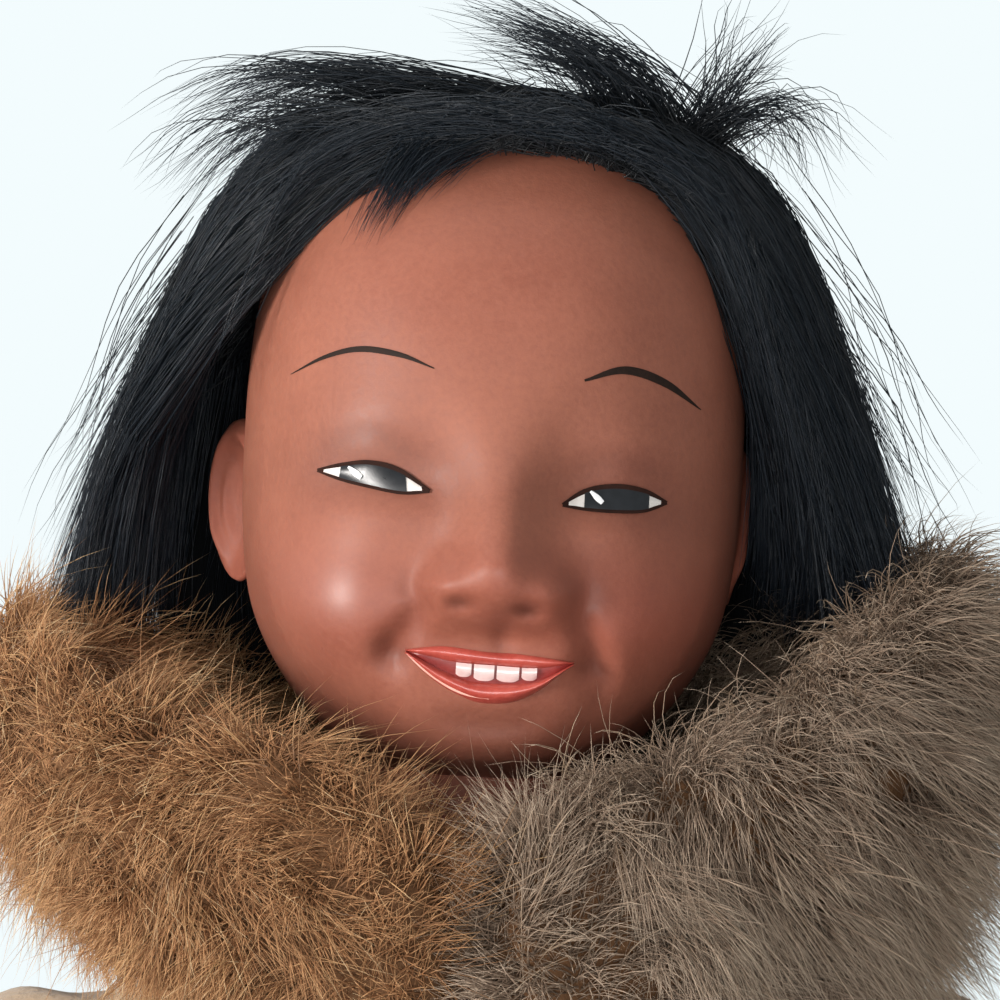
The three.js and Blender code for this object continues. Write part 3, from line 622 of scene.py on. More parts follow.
@dataclass(frozen=True)
class SkinFinish(Finish):
    """Painted skin: mottled, redder by blush, glossier by shine, and darkened by painted shade in creases."""

    coat_roughness: float = 0.42
    unevenness: float = 0.2
    blush: Colour = (0.5, 0.1, 0.08)
    # Colour of the painted shade in creases and recesses.
    hollow: Colour = (0.1, 0.04, 0.03)
    depth: float = 0.12
    depth_radius: Colour = (0.9, 0.35, 0.2)
    depth_scale: float = 0.0015

    def surface(self, nodes: Nodes) -> Node:
        """Builds the painted skin.

        Args:
            nodes: The material's tree.

        Returns:
            The shader node.
        """
        group = self.mottle(nodes)
        warm = nodes.mix(nodes.attribute("blush"), group.outputs["Color"], self.blush)
        # Painted shade: the paint darkens towards this colour where the mesh marks creases and recesses.
        colour = nodes.mix(nodes.attribute("hollow"), warm, self.hollow)
        inputs = {"Base Color": colour, "Roughness": self.uneven(nodes, group),
                  "Normal": group.outputs["Normal"], "Coat Weight": nodes.attribute("shine"),
                  "Subsurface Weight": self.depth, "Subsurface Radius": self.depth_radius,
                  "Subsurface Scale": self.depth_scale}
        return self.shader(nodes, inputs)


@dataclass(frozen=True)
class StrandFinish(Finish):
    """Hair and fur: low is the root colour, high the body's, other its second shade, tip the end's."""

    other: Colour = (0.2, 0.2, 0.2)
    tip: Colour = (0.5, 0.4, 0.3)
    tip_start: float = 0.55

    def surface(self, nodes: Nodes) -> Node:
        """Builds the hair's surface.

        Args:
            nodes: The material's tree.

        Returns:
            The shader node.
        """
        inputs = {"Root": self.low, "Body": self.high, "Tip": self.tip, "Other": self.other,
                  "Tip start": self.tip_start}
        group = nodes.add("ShaderNodeGroup", inputs, node_tree=EFFECTS.strand)
        return self.shader(nodes, {"Base Color": group.outputs["Color"], "Roughness": self.roughness})


@dataclass(frozen=True)
class ClothFinish(Finish):
    """Woven cloth: the mottled colour over crossing threads."""

    threads: float = 420.0
    gap_shade: float = 0.45

    def surface(self, nodes: Nodes) -> Node:
        """Builds the cloth.

        Args:
            nodes: The material's tree.

        Returns:
            The shader node.
        """
        group = self.mottle(nodes)
        weave = nodes.add("ShaderNodeGroup", {"Scale": self.threads, "Height": self.height},
                          node_tree=EFFECTS.weave)
        dark = tuple(self.gap_shade * part for part in self.low)
        colour = nodes.mix(weave.outputs["Value"], dark, group.outputs["Color"])
        return self.shader(nodes, {"Base Color": colour, "Roughness": self.roughness,
                                   "Normal": weave.outputs["Normal"]})


@dataclass(frozen=True)
class FloorFinish(Finish):
    """A floor that looks pale away from the lamps and fades into the surroundings."""

    glow: float = 0.42
    around: Colour = (1.0, 1.0, 1.0)
    fade_start: float = 0.4
    fade_end: float = 1.4

    def surface(self, nodes: Nodes) -> Node:
        """Builds the floor.

        Args:
            nodes: The material's tree.

        Returns:
            The shader node.
        """
        lit = super().surface(nodes)
        seen = nodes.add("ShaderNodeLightPath").outputs["Is Camera Ray"]
        strength = nodes.combine("MULTIPLY", seen, self.glow)
        pale = nodes.add("ShaderNodeEmission", {"Color": self.high, "Strength": strength})
        near = nodes.add("ShaderNodeAddShader", {0: lit.outputs[0], 1: pale.outputs[0]})
        place = nodes.add("ShaderNodeNewGeometry").outputs["Position"]
        away = nodes.add("ShaderNodeVectorMath", {0: place}, operation="LENGTH").outputs["Value"]
        fade = nodes.ranged(away, {"From Min": self.fade_start, "From Max": self.fade_end}, "SMOOTHSTEP")
        share = nodes.combine("MULTIPLY", seen, fade)
        beyond = nodes.add("ShaderNodeEmission", {"Color": self.around})
        return nodes.add("ShaderNodeMixShader", {0: share, 1: near.outputs[0], 2: beyond.outputs[0]})


# The last colour given to the skin is its painted shade, for creases and recesses.
SKIN = SkinFinish("painted_skin", "skin", shade(139, 84, 67), shade(156, 97, 77), cloud=70.0, grain=1300.0,
                  height=0.00005, roughness=0.58, specular=0.3, blush=shade(150, 72, 58),
                  hollow=shade(78, 42, 35))
EYE_WHITE = Finish("painted_eye_white", "skin", shade(214, 206, 200), shade(234, 228, 222), roughness=0.25,
                   coat=0.5, height=0.00001)
EYE_DARK = Finish("painted_iris", "skin", shade(20, 21, 24), shade(32, 34, 38), roughness=0.3, specular=0.7,
                  height=0.00001)
EYE_LINE = Finish("painted_lid_line", "skin", shade(36, 22, 18), shade(52, 32, 26), roughness=0.8,
                  specular=0.1, height=0.00002)
EYE_SHINE = Finish("painted_eye_shine", "skin", shade(236, 236, 236), shade(250, 250, 250), roughness=0.3,
                   height=0.00001)
BROW = Finish("painted_brow", "skin", shade(30, 20, 16), shade(46, 31, 24), cloud=400.0, grain=2600.0,
              roughness=0.7, specular=0.2, height=0.00004)
LIP = Finish("painted_lip", "skin", shade(174, 68, 58), shade(198, 92, 79), cloud=160.0, grain=1500.0,
             roughness=0.34, coat=0.3, height=0.00006)
# Painted highlight: a pale stroke standing in for the lamp's gleam on the lower lip's edge.
LIP_HIGHLIGHT = Finish("painted_lip_light", "skin", shade(232, 168, 152), shade(246, 196, 180), roughness=0.25,
                   height=0.00002)
MOUTH = Finish("painted_mouth", "skin", shade(112, 34, 32), shade(146, 50, 44), roughness=0.4, height=0.00004)
TOOTH = Finish("painted_tooth", "skin", shade(216, 184, 180), shade(232, 204, 200), roughness=0.3, coat=0.3,
               height=0.00001)
HAIR = StrandFinish("black_hair", "hair", shade(10, 13, 16), shade(15, 20, 26), roughness=0.42, specular=0.35,
                    other=shade(25, 33, 41), tip=shade(30, 38, 47), tip_start=0.6)
HAIR_MASS = Finish("black_hair_mass", "hair", shade(8, 10, 12), shade(16, 20, 24), cloud=80.0, grain=700.0,
                   stretch=(4.0, 4.0, 0.5), roughness=0.8, height=0.0004, specular=0.1)
FUR_CORE = Finish("fur_skin_side", "fur", shade(88, 63, 44), shade(112, 81, 57), roughness=0.95,
                  height=0.0004, specular=0.05)
FUR_GOLD = StrandFinish("fur_gold", "fur", shade(120, 85, 58), shade(174, 128, 89), roughness=0.65,
                        specular=0.25, other=shade(140, 100, 68), tip=shade(208, 162, 116), tip_start=0.5)
GUARD_GOLD = StrandFinish("fur_gold_guard", "fur", shade(112, 78, 50), shade(192, 152, 106), roughness=0.45,
                          specular=0.4, other=shade(150, 110, 72), tip=shade(240, 212, 168), tip_start=0.55)
FUR_GREY = StrandFinish("fur_grey", "fur", shade(98, 81, 67), shade(158, 135, 115), roughness=0.65,
                        specular=0.25, other=shade(125, 106, 90), tip=shade(187, 167, 146), tip_start=0.5)
GUARD_GREY = StrandFinish("fur_grey_guard", "fur", shade(98, 80, 64), shade(158, 136, 113), roughness=0.45,
                          specular=0.4, other=shade(122, 102, 84), tip=shade(214, 196, 172), tip_start=0.6)
HIDE = Finish("parka_hide", "hide", shade(172, 147, 119), shade(192, 168, 140), cloud=40.0, grain=1100.0,
              height=0.0003, roughness=0.85, sheen=0.3, specular=0.3)
HIDE_BAND = Finish("parka_band", "hide", shade(112, 74, 48), shade(140, 96, 64), cloud=60.0, grain=1200.0,
                   height=0.0003, roughness=0.85, sheen=0.25, specular=0.3)
THREAD = Finish("sinew_thread", "hide", shade(170, 136, 100), shade(196, 164, 128), cloud=500.0, grain=2500.0,
                height=0.0001, roughness=0.6)
LINING = ClothFinish("collar_lining_cloth", "lining", shade(120, 96, 74), shade(148, 122, 96), roughness=0.85,
                     height=0.00015)
TROUSER = Finish("trouser_hide", "trouser_cloth", shade(74, 52, 38), shade(98, 72, 53), cloud=50.0,
                 grain=1000.0, height=0.0003, roughness=0.88, sheen=0.3, specular=0.25)
BOOT = Finish("boot_hide", "boot_hide", shade(132, 94, 62), shade(160, 120, 84), cloud=55.0, grain=1100.0,
              height=0.0003, roughness=0.8, sheen=0.2, specular=0.3)
SOLE = Finish("sole_hide", "sole_hide", shade(86, 62, 44), shade(112, 84, 62), cloud=70.0, grain=800.0,
              height=0.0003, roughness=0.7)
WIG_NET = ClothFinish("wig_net", "wig_net", shade(10, 10, 11), shade(18, 18, 19), roughness=0.95,
                      specular=0.1, height=0.0002, threads=260.0)
ELASTIC = ClothFinish("braided_elastic", "elastic", shade(206, 198, 184), shade(226, 220, 208),
                      roughness=0.75, height=0.00025, threads=300.0)
STEEL = Finish("washer_steel", "washer_steel", shade(150, 152, 154), shade(178, 180, 182), cloud=200.0,
               grain=2400.0, height=0.00003, roughness=0.35, metallic=1.0)
FELT = Finish("neck_felt", "felt", shade(196, 188, 172), shade(222, 214, 200), cloud=200.0, grain=1700.0,
              height=0.0004, roughness=0.95, sheen=0.4)
WOOD = Finish("button_wood", "button_wood", shade(150, 104, 62), shade(192, 146, 98), cloud=90.0, grain=700.0,
              stretch=(0.25, 1.6, 1.6), height=0.0001, roughness=0.55)
# Plaster body, dark brown so that gaps between the clothes show painted shade.
BODY_PLASTER_GAP_SHADE = Finish("body_plaster", "skin", shade(84, 58, 44), shade(104, 74, 56), cloud=60.0, grain=900.0,
                      height=0.0001, roughness=0.6)
SKY = shade(243, 252, 254)


def dress(piece: Object, finish: Finish, body: str) -> Object:
    """Gives a new piece its finish and the body it rides on.

    Args:
        piece: The new piece.
        finish: Its finish.
        body: The body's name.

    Returns:
        The same piece.
    """
    finish.put_on(piece)
    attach(piece, body)
    return piece


# The head


@dataclass(frozen=True)
class Swell:
    """A rounded rise or dip of the face, also used for spots of paint."""

    across: float
    up: float
    wide: float
    tall: float
    rise: float

    def at(self, across: Array, up: Array) -> Array:
        """Reads how far the face stands out at places across and up."""
        far = ((across - self.across) / self.wide) ** 2 + ((up - self.up) / self.tall) ** 2
        return self.rise * np.exp(-0.5 * far)


@dataclass(frozen=True)
class Crease:
    """A groove along a line on the face."""

    line: tuple[tuple[float, float], ...]
    wide: float
    deep: float
    samples: int = 30
    end_gap: float = 0.12

    def at(self, across: Array, up: Array) -> Array:
        """Reads the groove.

        Args:
            across: Places across the face.
            up: Places up the face.

        Returns:
            How far the face stands out there, below 0 in the groove.
        """
        path = curve_through(self.line, self.samples)
        fade = np.sin(np.linspace(self.end_gap, math.pi - self.end_gap, self.samples)) ** 0.6
        total = np.zeros_like(across)
        for (line_across, line_up), part in zip(path, fade):
            far = ((across - line_across) ** 2 + (up - line_up) ** 2) / self.wide ** 2
            total = np.maximum(total, part * np.exp(-0.5 * far))
        return -self.deep * total


def sum_of(forms: Sequence[Swell | Crease], across: Array, up: Array, start: Array | float = 0.0) -> Array:
    """Adds forms of the face at places across and up to start."""
    return sum((form.at(across, up) for form in forms), start)


@dataclass(frozen=True)
class Eye:
    """One painted eye: its lids' lines, its shine's line and the upper lid's half width."""

    upper: Knots
    lower: Knots
    shine: Knots
    stroke: Knots


EYES = {
    Side.RIGHT: Eye(upper=((-20.8, 39.3), (-17.8, 40.1), (-14.4, 40.5), (-10.9, 39.7), (-7.3, 37.5)),
                    lower=((-20.8, 39.3), (-18.0, 38.4), (-14.5, 37.7), (-10.6, 37.15), (-7.3, 37.5)),
                    shine=((-17.1, 39.9), (-15.5, 38.7)),
                    stroke=((0.0, 0.2), (0.25, 0.26), (0.7, 0.32), (1.0, 0.24))),
    Side.LEFT: Eye(upper=((8.5, 36.7), (11.2, 38.5), (14.7, 39.2), (18.2, 38.8), (20.9, 37.6)),
                   lower=((8.5, 36.7), (11.2, 36.35), (14.7, 36.25), (18.2, 36.5), (20.9, 37.6)),
                   shine=((11.7, 38.5), (13.2, 37.2)),
                   stroke=((0.0, 0.24), (0.3, 0.32), (0.75, 0.3), (1.0, 0.2)))}


@dataclass
class Ear:
    """One ear, a dished plate with a rolled rim; places on it are shares of its half sizes."""

    side: Side
    reach: float
    open_angle: float
    half_tall: float = 9.8
    half_deep: float = 5.6
    back: float = 4.0
    height: float = 34.5
    rim_rise: float = 1.5
    rim_place: float = 0.84
    ridge_rise: float = 0.7
    ridge_place: float = 0.55
    roll_width: float = 0.1
    bowl_depth: float = 1.7
    face_rise: float = 1.4
    back_bulge: float = 1.3
    edge_rise: float = 0.5
    edge_reach: float = 1.03
    redness: float = 0.3

    def build(self) -> None:
        """Builds the ear, open_angle degrees off the head."""
        ring = np.linspace(0.0, 1.0, 26)[:, None]
        around = all_round(72)[None, :]
        tall = self.half_tall * (1.0 + 0.08 * np.cos(around))
        deep = self.half_deep * (1.0 + 0.18 * np.cos(around))
        backward = ring * deep * np.sin(around)
        upward = ring * tall * np.cos(around)
        rim = self.rim_rise * bell((ring - self.rim_place) / self.roll_width)
        rim = rim * smooth(-2.9, -1.9, -np.abs(around))
        far = ((backward + 1.0) / 2.6) ** 2 + ((upward + 1.0) / 4.4) ** 2
        bowl = -self.bowl_depth * np.exp(-0.5 * far)
        ridge = self.ridge_rise * bell((ring - self.ridge_place) / self.roll_width)
        ridge = ridge * smooth(0.2, 1.0, np.sin(around))
        face = points_at(self.face_rise + rim + bowl + ridge, backward, upward)
        bulge = -self.back_bulge * np.sqrt(np.clip(1.0 - ring ** 2, 0.0, 1.0))
        back = points_at(bulge, backward, upward)
        edge = points_at(self.edge_rise, self.edge_reach * deep * np.sin(around),
                         self.edge_reach * tall * np.cos(around))
        plate = np.concatenate((face, edge, back[::-1]), axis=0)
        turn = math.radians(self.open_angle)
        out = plate[..., 0] * math.cos(turn) + plate[..., 1] * math.sin(turn)
        behind = plate[..., 1] * math.cos(turn) - plate[..., 0] * math.sin(turn)
        across = self.side.value * (self.reach + out)
        grid = points_at(across, self.back + behind, self.height + plate[..., 2])
        # Painted shade darkens the back of the ear; blush reddens all of it.
        values = {"blush": np.full(grid.shape[:2], self.redness),
                  "hollow": np.clip(-0.3 * (plate[..., 0] - 0.6), 0.0, 0.5)}
        dress(add_grid(f"ear_{self.side.word}", head_to_world(grid), True, values), SKIN, "head")


@dataclass
class Head:
    """The painted head: skull, face relief, ears, eyes, brows, mouth and teeth."""

    half_width: float = 30.5
    half_height: float = 41.0
    face_depth: float = 34.0
    nape_depth: float = 36.0
    squareness: float = 2.7
    roundness: float = 2.2
    rise: float = 43.0
    forward: float = 2.0
    jaw_narrowing: float = 0.1
    jaw_start: float = 18.0
    relief_edge: float = 0.9
    nose_centre: float = 1.3
    nose_height: Knots = ((18.0, 0.0), (21.0, 0.8), (22.8, 3.5), (25.4, 6.7), (28.4, 8.0), (32.0, 6.3),
                          (37.0, 3.7), (43.0, 1.9), (50.0, 0.7), (58.0, 0.0))
    nose_width: Knots = ((18.0, 6.0), (23.2, 4.6), (27.0, 4.3), (32.0, 3.7), (38.0, 3.6), (45.0, 5.0),
                         (58.0, 9.0))
    swells: tuple[Swell, ...] = (
        Swell(-5.4, 26.3, 2.3, 2.3, 3.0), Swell(8.2, 26.2, 2.3, 2.3, 3.0),
        Swell(-3.0, 24.5, 1.2, 0.6, -1.1), Swell(5.0, 24.0, 1.3, 0.65, -1.2),
        Swell(-7.4, 41.5, 4.0, 4.6, -1.0), Swell(9.8, 41.0, 4.0, 4.6, -1.2),
        Swell(-20.0, 21.3, 8.4, 7.6, 5.4), Swell(20.2, 21.5, 8.4, 7.6, 5.4),
        Swell(-14.5, 8.5, 6.5, 6.0, 1.6), Swell(16.5, 8.0, 6.5, 6.0, 1.6),
        Swell(1.0, 17.5, 9.5, 6.0, 2.8), Swell(1.8, 6.2, 10.2, 5.4, 9.4),
        Swell(-10.6, 18.0, 1.5, 2.0, -1.7), Swell(12.4, 17.6, 1.5, 2.0, -1.7),
        Swell(-14.6, 45.0, 8.5, 3.8, 0.9), Swell(15.6, 43.9, 8.5, 3.8, 0.9),
        Swell(-14.2, 39.2, 6.0, 1.9, -0.7), Swell(15.0, 38.2, 6.0, 1.9, -0.7),
        Swell(-14.0, 34.2, 6.0, 2.0, 0.8), Swell(15.0, 33.4, 6.0, 2.0, 0.8),
        Swell(0.0, 62.0, 16.0, 9.0, 1.5))
    creases: tuple[Crease, ...] = (
        Crease(((-7.2, 28.6), (-8.6, 26.6), (-7.9, 24.0), (-9.4, 20.6), (-12.6, 17.6)), 1.2, 1.3),
        Crease(((10.2, 28.6), (11.4, 26.4), (11.2, 23.6), (12.8, 20.2), (14.6, 16.6), (13.6, 12.4)),
               1.2, 1.4),
        Crease(((-4.8, 10.6), (-1.0, 10.2), (3.0, 10.2), (7.0, 10.9)), 1.5, 1.2),
        Crease(((2.4, 22.4), (2.4, 19.6)), 1.1, 0.8),
        Crease(((-20.4, 42.4), (-14.6, 44.0), (-8.0, 41.4)), 1.2, 0.25),
        Crease(((9.2, 40.6), (14.6, 42.7), (20.8, 41.0)), 1.2, 0.25))
    redder: tuple[Swell, ...] = (
        Swell(-17.0, 24.0, 8.0, 6.0, 0.3), Swell(19.0, 23.5, 8.0, 6.0, 0.4),
        Swell(1.5, 26.5, 6.5, 4.0, 0.2), Swell(1.0, 15.0, 13.0, 6.5, 0.12),
        Swell(0.0, 62.0, 14.0, 9.0, 0.12))
    glossier: tuple[Swell, ...] = (
        Swell(-20.6, 23.2, 4.6, 4.8, 1.0), Swell(20.0, 23.0, 6.0, 6.0, 0.15),
        Swell(1.0, 27.5, 5.0, 4.0, 0.15), Swell(-13.0, 45.0, 9.0, 5.5, 0.15),
        Swell(1.5, 6.0, 6.0, 4.0, 0.3))
    # Spots of painted shade: the nostrils, the mouth corners and round the eyes.
    darker: tuple[Swell, ...] = (
        Swell(-3.0, 24.5, 1.1, 0.5, 0.5), Swell(5.0, 24.0, 1.2, 0.55, 0.6),
        Swell(-10.4, 18.1, 1.0, 1.0, 0.35), Swell(12.2, 17.6, 1.0, 1.0, 0.4),
        Swell(-14.2, 39.0, 7.5, 2.8, 0.35), Swell(15.0, 38.0, 7.5, 2.8, 0.35))
    crease_shade: float = 0.22
    darkest: float = 0.85
    front_crowding: float = 0.55
    middle_crowding: float = 0.12
    pole_gap: float = 0.012
    columns: int = 300
    rows: int = 230
    edge_points: int = 60

    def narrowed(self, up: Array) -> Array:
        """Reads width factors of the jaw at heights in the head's frame."""
        start = self.rise - self.jaw_start
        return 1.0 - self.jaw_narrowing * smooth(start, self.rise - self.half_height, up)

    def relief(self, across: Array, up: Array) -> Array:
        """Reads how far the features stand out of the plain skull.

        Args:
            across: Places across the face.
            up: Places up the face.

        Returns:
            Heights of the relief.
        """
        clipped = np.clip(up, self.nose_height[0][0], self.nose_height[-1][0])
        beside = np.abs(across - self.nose_centre) / eased(clipped, self.nose_width)
        nose = eased(clipped, self.nose_height) * np.exp(-0.5 * beside ** 2.2)
        return sum_of((*self.swells, *self.creases), across, up, nose)

    def spread(self, across: Array, up: Array) -> Array:
        """Reads how near a place is to the skull's outline from the front.

        Args:
            across: Places across the face.
            up: Places up the face.

        Returns:
            0 at the middle, 1 at the outline.
        """
        wide = np.abs(across / self.narrowed(up) / self.half_width) ** self.squareness
        tall = np.abs((up - self.rise) / self.half_height) ** self.squareness
        return (wide + tall) ** (1.0 / self.squareness)

    def front(self, across: Array, up: Array) -> Array:
        """Reads the face's surface.

        Args:
            across: Places across the face.
            up: Places up the face.

        Returns:
            Depths in the head's frame; lower is nearer the viewer.
        """
        spread = np.clip(self.spread(across, up), 0.0, 1.0)
        plain = -self.forward - self.face_depth * (1.0 - spread ** self.roundness) ** (1.0 / self.roundness)
        return plain - self.relief(across, up) * (1.0 - smooth(self.relief_edge, 1.0, spread))

    def scalp(self, headings: Array, lift: float) -> Array:
        """Finds the skull's surface along headings from its centre.

        Args:
            headings: Unit vectors in the head's frame.
            lift: Distance above the surface.

        Returns:
            Points in the head's frame.
        """
        wide = np.abs(headings[..., 0] / self.half_width) ** self.squareness
        tall = np.abs(headings[..., 2] / self.half_height) ** self.squareness
        outline = (wide + tall) ** (self.roundness / self.squareness)
        deep = np.where(headings[..., 1] < 0.0, self.face_depth, self.nape_depth)
        depth = np.abs(headings[..., 1] / deep) ** self.roundness
        reach = (outline + depth) ** (-1.0 / self.roundness) + lift
        return headings * reach[..., None] + np.array([0.0, -self.forward, self.rise])

    def build(self) -> None:
        """Builds the skull and everything painted on it."""
        around = all_round(self.columns)
        around = around - self.front_crowding * np.sin(around)
        down = np.linspace(self.pole_gap, math.pi - self.pole_gap, self.rows)[:, None]
        down = down + self.middle_crowding * np.sin(2.0 * down)
        headings = points_at(np.sin(down) * np.sin(around), -np.sin(down) * np.cos(around), np.cos(down))
        grid = self.scalp(headings, 0.0)
        grid[..., 0] *= self.narrowed(grid[..., 2])
        facing = grid[..., 1] < -self.forward
        face = self.front(grid[..., 0], grid[..., 2])
        grid[..., 1] = np.where(facing, face, grid[..., 1])
        skull = add_grid("head", head_to_world(grid), True, self.paint(grid, facing))
        dress(skull, SKIN, "head")
        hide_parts("head_shell")
        self.build_neck()
        Ear(Side.RIGHT, reach=30.0, open_angle=32.0).build()
        Ear(Side.LEFT, reach=28.6, open_angle=8.0).build()
        self.build_eyes()
        self.build_brows()
        self.build_mouth()

    def paint(self, grid: Array, facing: Array) -> dict[str, Array]:
        """Reads where the face's paint is redder, carries painted shade in creases and round the eyes, and is
        glossier.

        Args:
            grid: Points in the head's frame.
            facing: Which of them lie on the face.

        Returns:
            Shares, 0 to 1, by attribute name.
        """
        across, up = grid[..., 0], grid[..., 2]
        lines = sum(-crease.at(across, up) / crease.deep for crease in self.creases)
        blush = np.clip(sum_of(self.redder, across, up), 0.0, 1.0)
        # Painted shade: darkened along the creases and at the spots round the nostrils, mouth corners and
        # eyes.
        hollow = np.clip(self.crease_shade * lines + sum_of(self.darker, across, up), 0.0, self.darkest)
        shine = np.clip(sum_of(self.glossier, across, up), 0.0, 1.0)
        return {"blush": blush * facing, "hollow": hollow * facing, "shine": shine * facing}

    def build_neck(self) -> None:
        """Builds the neck and its ball under the jaw."""
        knots = ((-14.6, 3.0), (-12.0, 9.0), (-6.0, 13.8), (0.0, 15.0), (7.0, 13.6), (12.0, 12.6),
                 (20.0, 13.2))
        up = np.linspace(knots[0][0], knots[-1][0], 40)[:, None]
        radius = eased(up[:, 0], knots)[:, None]
        around = all_round(64)[None, :]
        grid = points_at(radius * np.sin(around), -radius * np.cos(around), up)
        values = {key: np.zeros(grid.shape[:2]) for key in ("blush", "hollow")}
        dress(add_grid("neck", head_to_world(grid), True, values), SKIN, "head")

    def patch(self, name: str, lower: Array, upper: Array, lift: float, bulge: float, finish: Finish,
              rows: int = 9) -> None:
        """Lays a painted patch on the face between two edges.

        Args:
            name: Name of the piece.
            lower: Points across and up along the lower edge.
            upper: As many points along the upper edge.
            lift: Height above the face at the edges.
            bulge: Further height along the middle.
            finish: The paint.
            rows: Rows of points from edge to edge.
        """
        part = np.linspace(0.0, 1.0, rows)[:, None, None]
        flat = lower[None] * (1.0 - part) + upper[None] * part
        swell = np.sin(math.pi * part[..., 0]) ** 0.8
        depth = self.front(flat[..., 0], flat[..., 1]) - lift - bulge * swell
        grid = points_at(flat[..., 0], depth, flat[..., 1])
        dress(add_grid(name, head_to_world(grid), False), finish, "head")

    def ribbon(self, name: str, line: Knots, width: Knots, lift: float, finish: Finish) -> None:
        """Paints a tapered stroke on the face.

        Args:
            name: Name of the piece.
            line: Points across and up that the stroke follows.
            width: Rows of share along the stroke and half width.
            lift: Height above the face.
            finish: The paint.
        """
        path = curve_through(line, self.edge_points)
        heading = unit(np.gradient(path, axis=0))
        aside = np.column_stack((-heading[:, 1], heading[:, 0]))
        half = eased(np.linspace(0.0, 1.0, self.edge_points), width)[:, None]
        self.patch(name, path - aside * half, path + aside * half, lift, 0.04, finish, 5)

    def build_eyes(self) -> None:
        """Paints both eyes: white, iris, shine and lid lines."""
        white = slice(4, 56)
        iris = slice(14, 48)
        under = ((0.0, 0.2), (0.5, 0.2), (1.0, 0.2))
        glint = ((0.0, 0.14), (0.6, 0.36), (1.0, 0.28))
        for side, eye in EYES.items():
            word = side.word
            upper = curve_through(eye.upper, self.edge_points)
            lower = curve_through(eye.lower, self.edge_points)
            self.patch(f"eye_white_{word}", lower[white], upper[white], 0.12, 0.35, EYE_WHITE)
            self.patch(f"eye_iris_{word}", lower[iris], upper[iris], 0.2, 0.38, EYE_DARK)
            self.ribbon(f"eye_lid_{word}", eye.upper, eye.stroke, 0.3, EYE_LINE)
            self.ribbon(f"eye_under_{word}", eye.lower, under, 0.3, EYE_LINE)
            self.ribbon(f"eye_shine_{word}", eye.shine, glint, 0.75, EYE_SHINE)

    def build_brows(self) -> None:
        """Paints the thin brows."""
        self.ribbon("brow_right", ((-24.7, 50.6), (-20.6, 52.8), (-16.4, 53.9), (-11.6, 53.4), (-7.5, 52.0)),
                    ((0.0, 0.04), (0.3, 0.26), (0.65, 0.36), (1.0, 0.06)), 0.1, BROW)
        self.ribbon("brow_left", ((10.3, 51.5), (15.0, 53.0), (19.9, 51.8), (24.5, 48.9)),
                    ((0.0, 0.14), (0.4, 0.5), (0.7, 0.44), (1.0, 0.05)), 0.1, BROW)

    def lip_edge(self, line: Knots) -> Array:
        """Samples a lip's edge evenly across the mouth.

        Args:
            line: Points across and up, from corner to corner.

        Returns:
            Points across and up.
        """
        path = curve_through(line, 2 * self.edge_points)
        across = np.linspace(path[0, 0], path[-1, 0], self.edge_points)
        return np.column_stack((across, np.interp(across, path[:, 0], path[:, 1])))

    def build_mouth(self) -> None:
        """Builds the lips, the dark opening, the four teeth and a painted highlight on the lower lip."""
        gap_top = self.lip_edge(((-9.1, 18.5), (-6.0, 18.0), (-2.9, 17.5), (1.7, 17.35), (6.5, 17.3),
                                 (10.7, 18.0)))
        gap_low = self.lip_edge(((-9.1, 18.5), (-6.6, 17.3), (-4.1, 16.2), (-1.0, 15.3), (3.6, 15.3),
                                 (7.0, 15.9), (10.7, 18.0)))
        lip_top = self.lip_edge(((-9.3, 18.7), (-6.5, 19.15), (-4.0, 19.3), (0.4, 18.9), (4.1, 18.85),
                                 (8.1, 18.5), (10.9, 18.2)))
        lip_low = self.lip_edge(((-9.3, 18.3), (-5.3, 15.0), (-1.5, 13.2), (1.0, 12.8), (4.0, 13.2),
                                 (6.8, 14.6), (9.1, 16.5), (10.9, 17.9)))
        # Painted highlight along the lower lip's edge on the doll's right, the side the key lamp lights.
        light = ((-9.0, 18.2), (-7.2, 16.7), (-5.2, 15.35), (-3.2, 14.3), (-1.2, 13.65), (1.0, 13.35))
        self.patch("mouth_opening", gap_low, gap_top, 0.1, 0.05, MOUTH)
        self.patch("lip_upper", gap_top, lip_top, 0.12, 0.75, LIP)
        self.patch("lip_lower", lip_low, gap_low, 0.12, 1.15, LIP, 13)
        self.ribbon("lip_light", light, ((0.0, 0.06), (0.3, 0.15), (0.7, 0.17), (1.0, 0.03)), 0.95, LIP_HIGHLIGHT)
        teeth = ((-3.1, -1.25, 15.8), (-0.95, 1.45, 15.45), (1.75, 4.4, 15.45), (4.7, 6.5, 15.75))
        for number, (start, end, bottom) in enumerate(teeth, 1):
            across = np.linspace(start, end, 14)
            round_end = 0.35 * np.abs(np.linspace(-1.0, 1.0, 14)) ** 3
            low = np.column_stack((across, bottom + round_end))
            high = np.column_stack((across, np.interp(across, gap_top[:, 0], gap_top[:, 1])))
            self.patch(f"tooth_{number}", low, high, 0.3, 0.3, TOOTH)


# Hair and fur


@dataclass(frozen=True)
class Tuft:
    """A loose tuft of hair: its line from the root, its hairs and the spread of roots and tips."""

    line: tuple[Place, ...]
    count: int
    root: Place
    fan: float


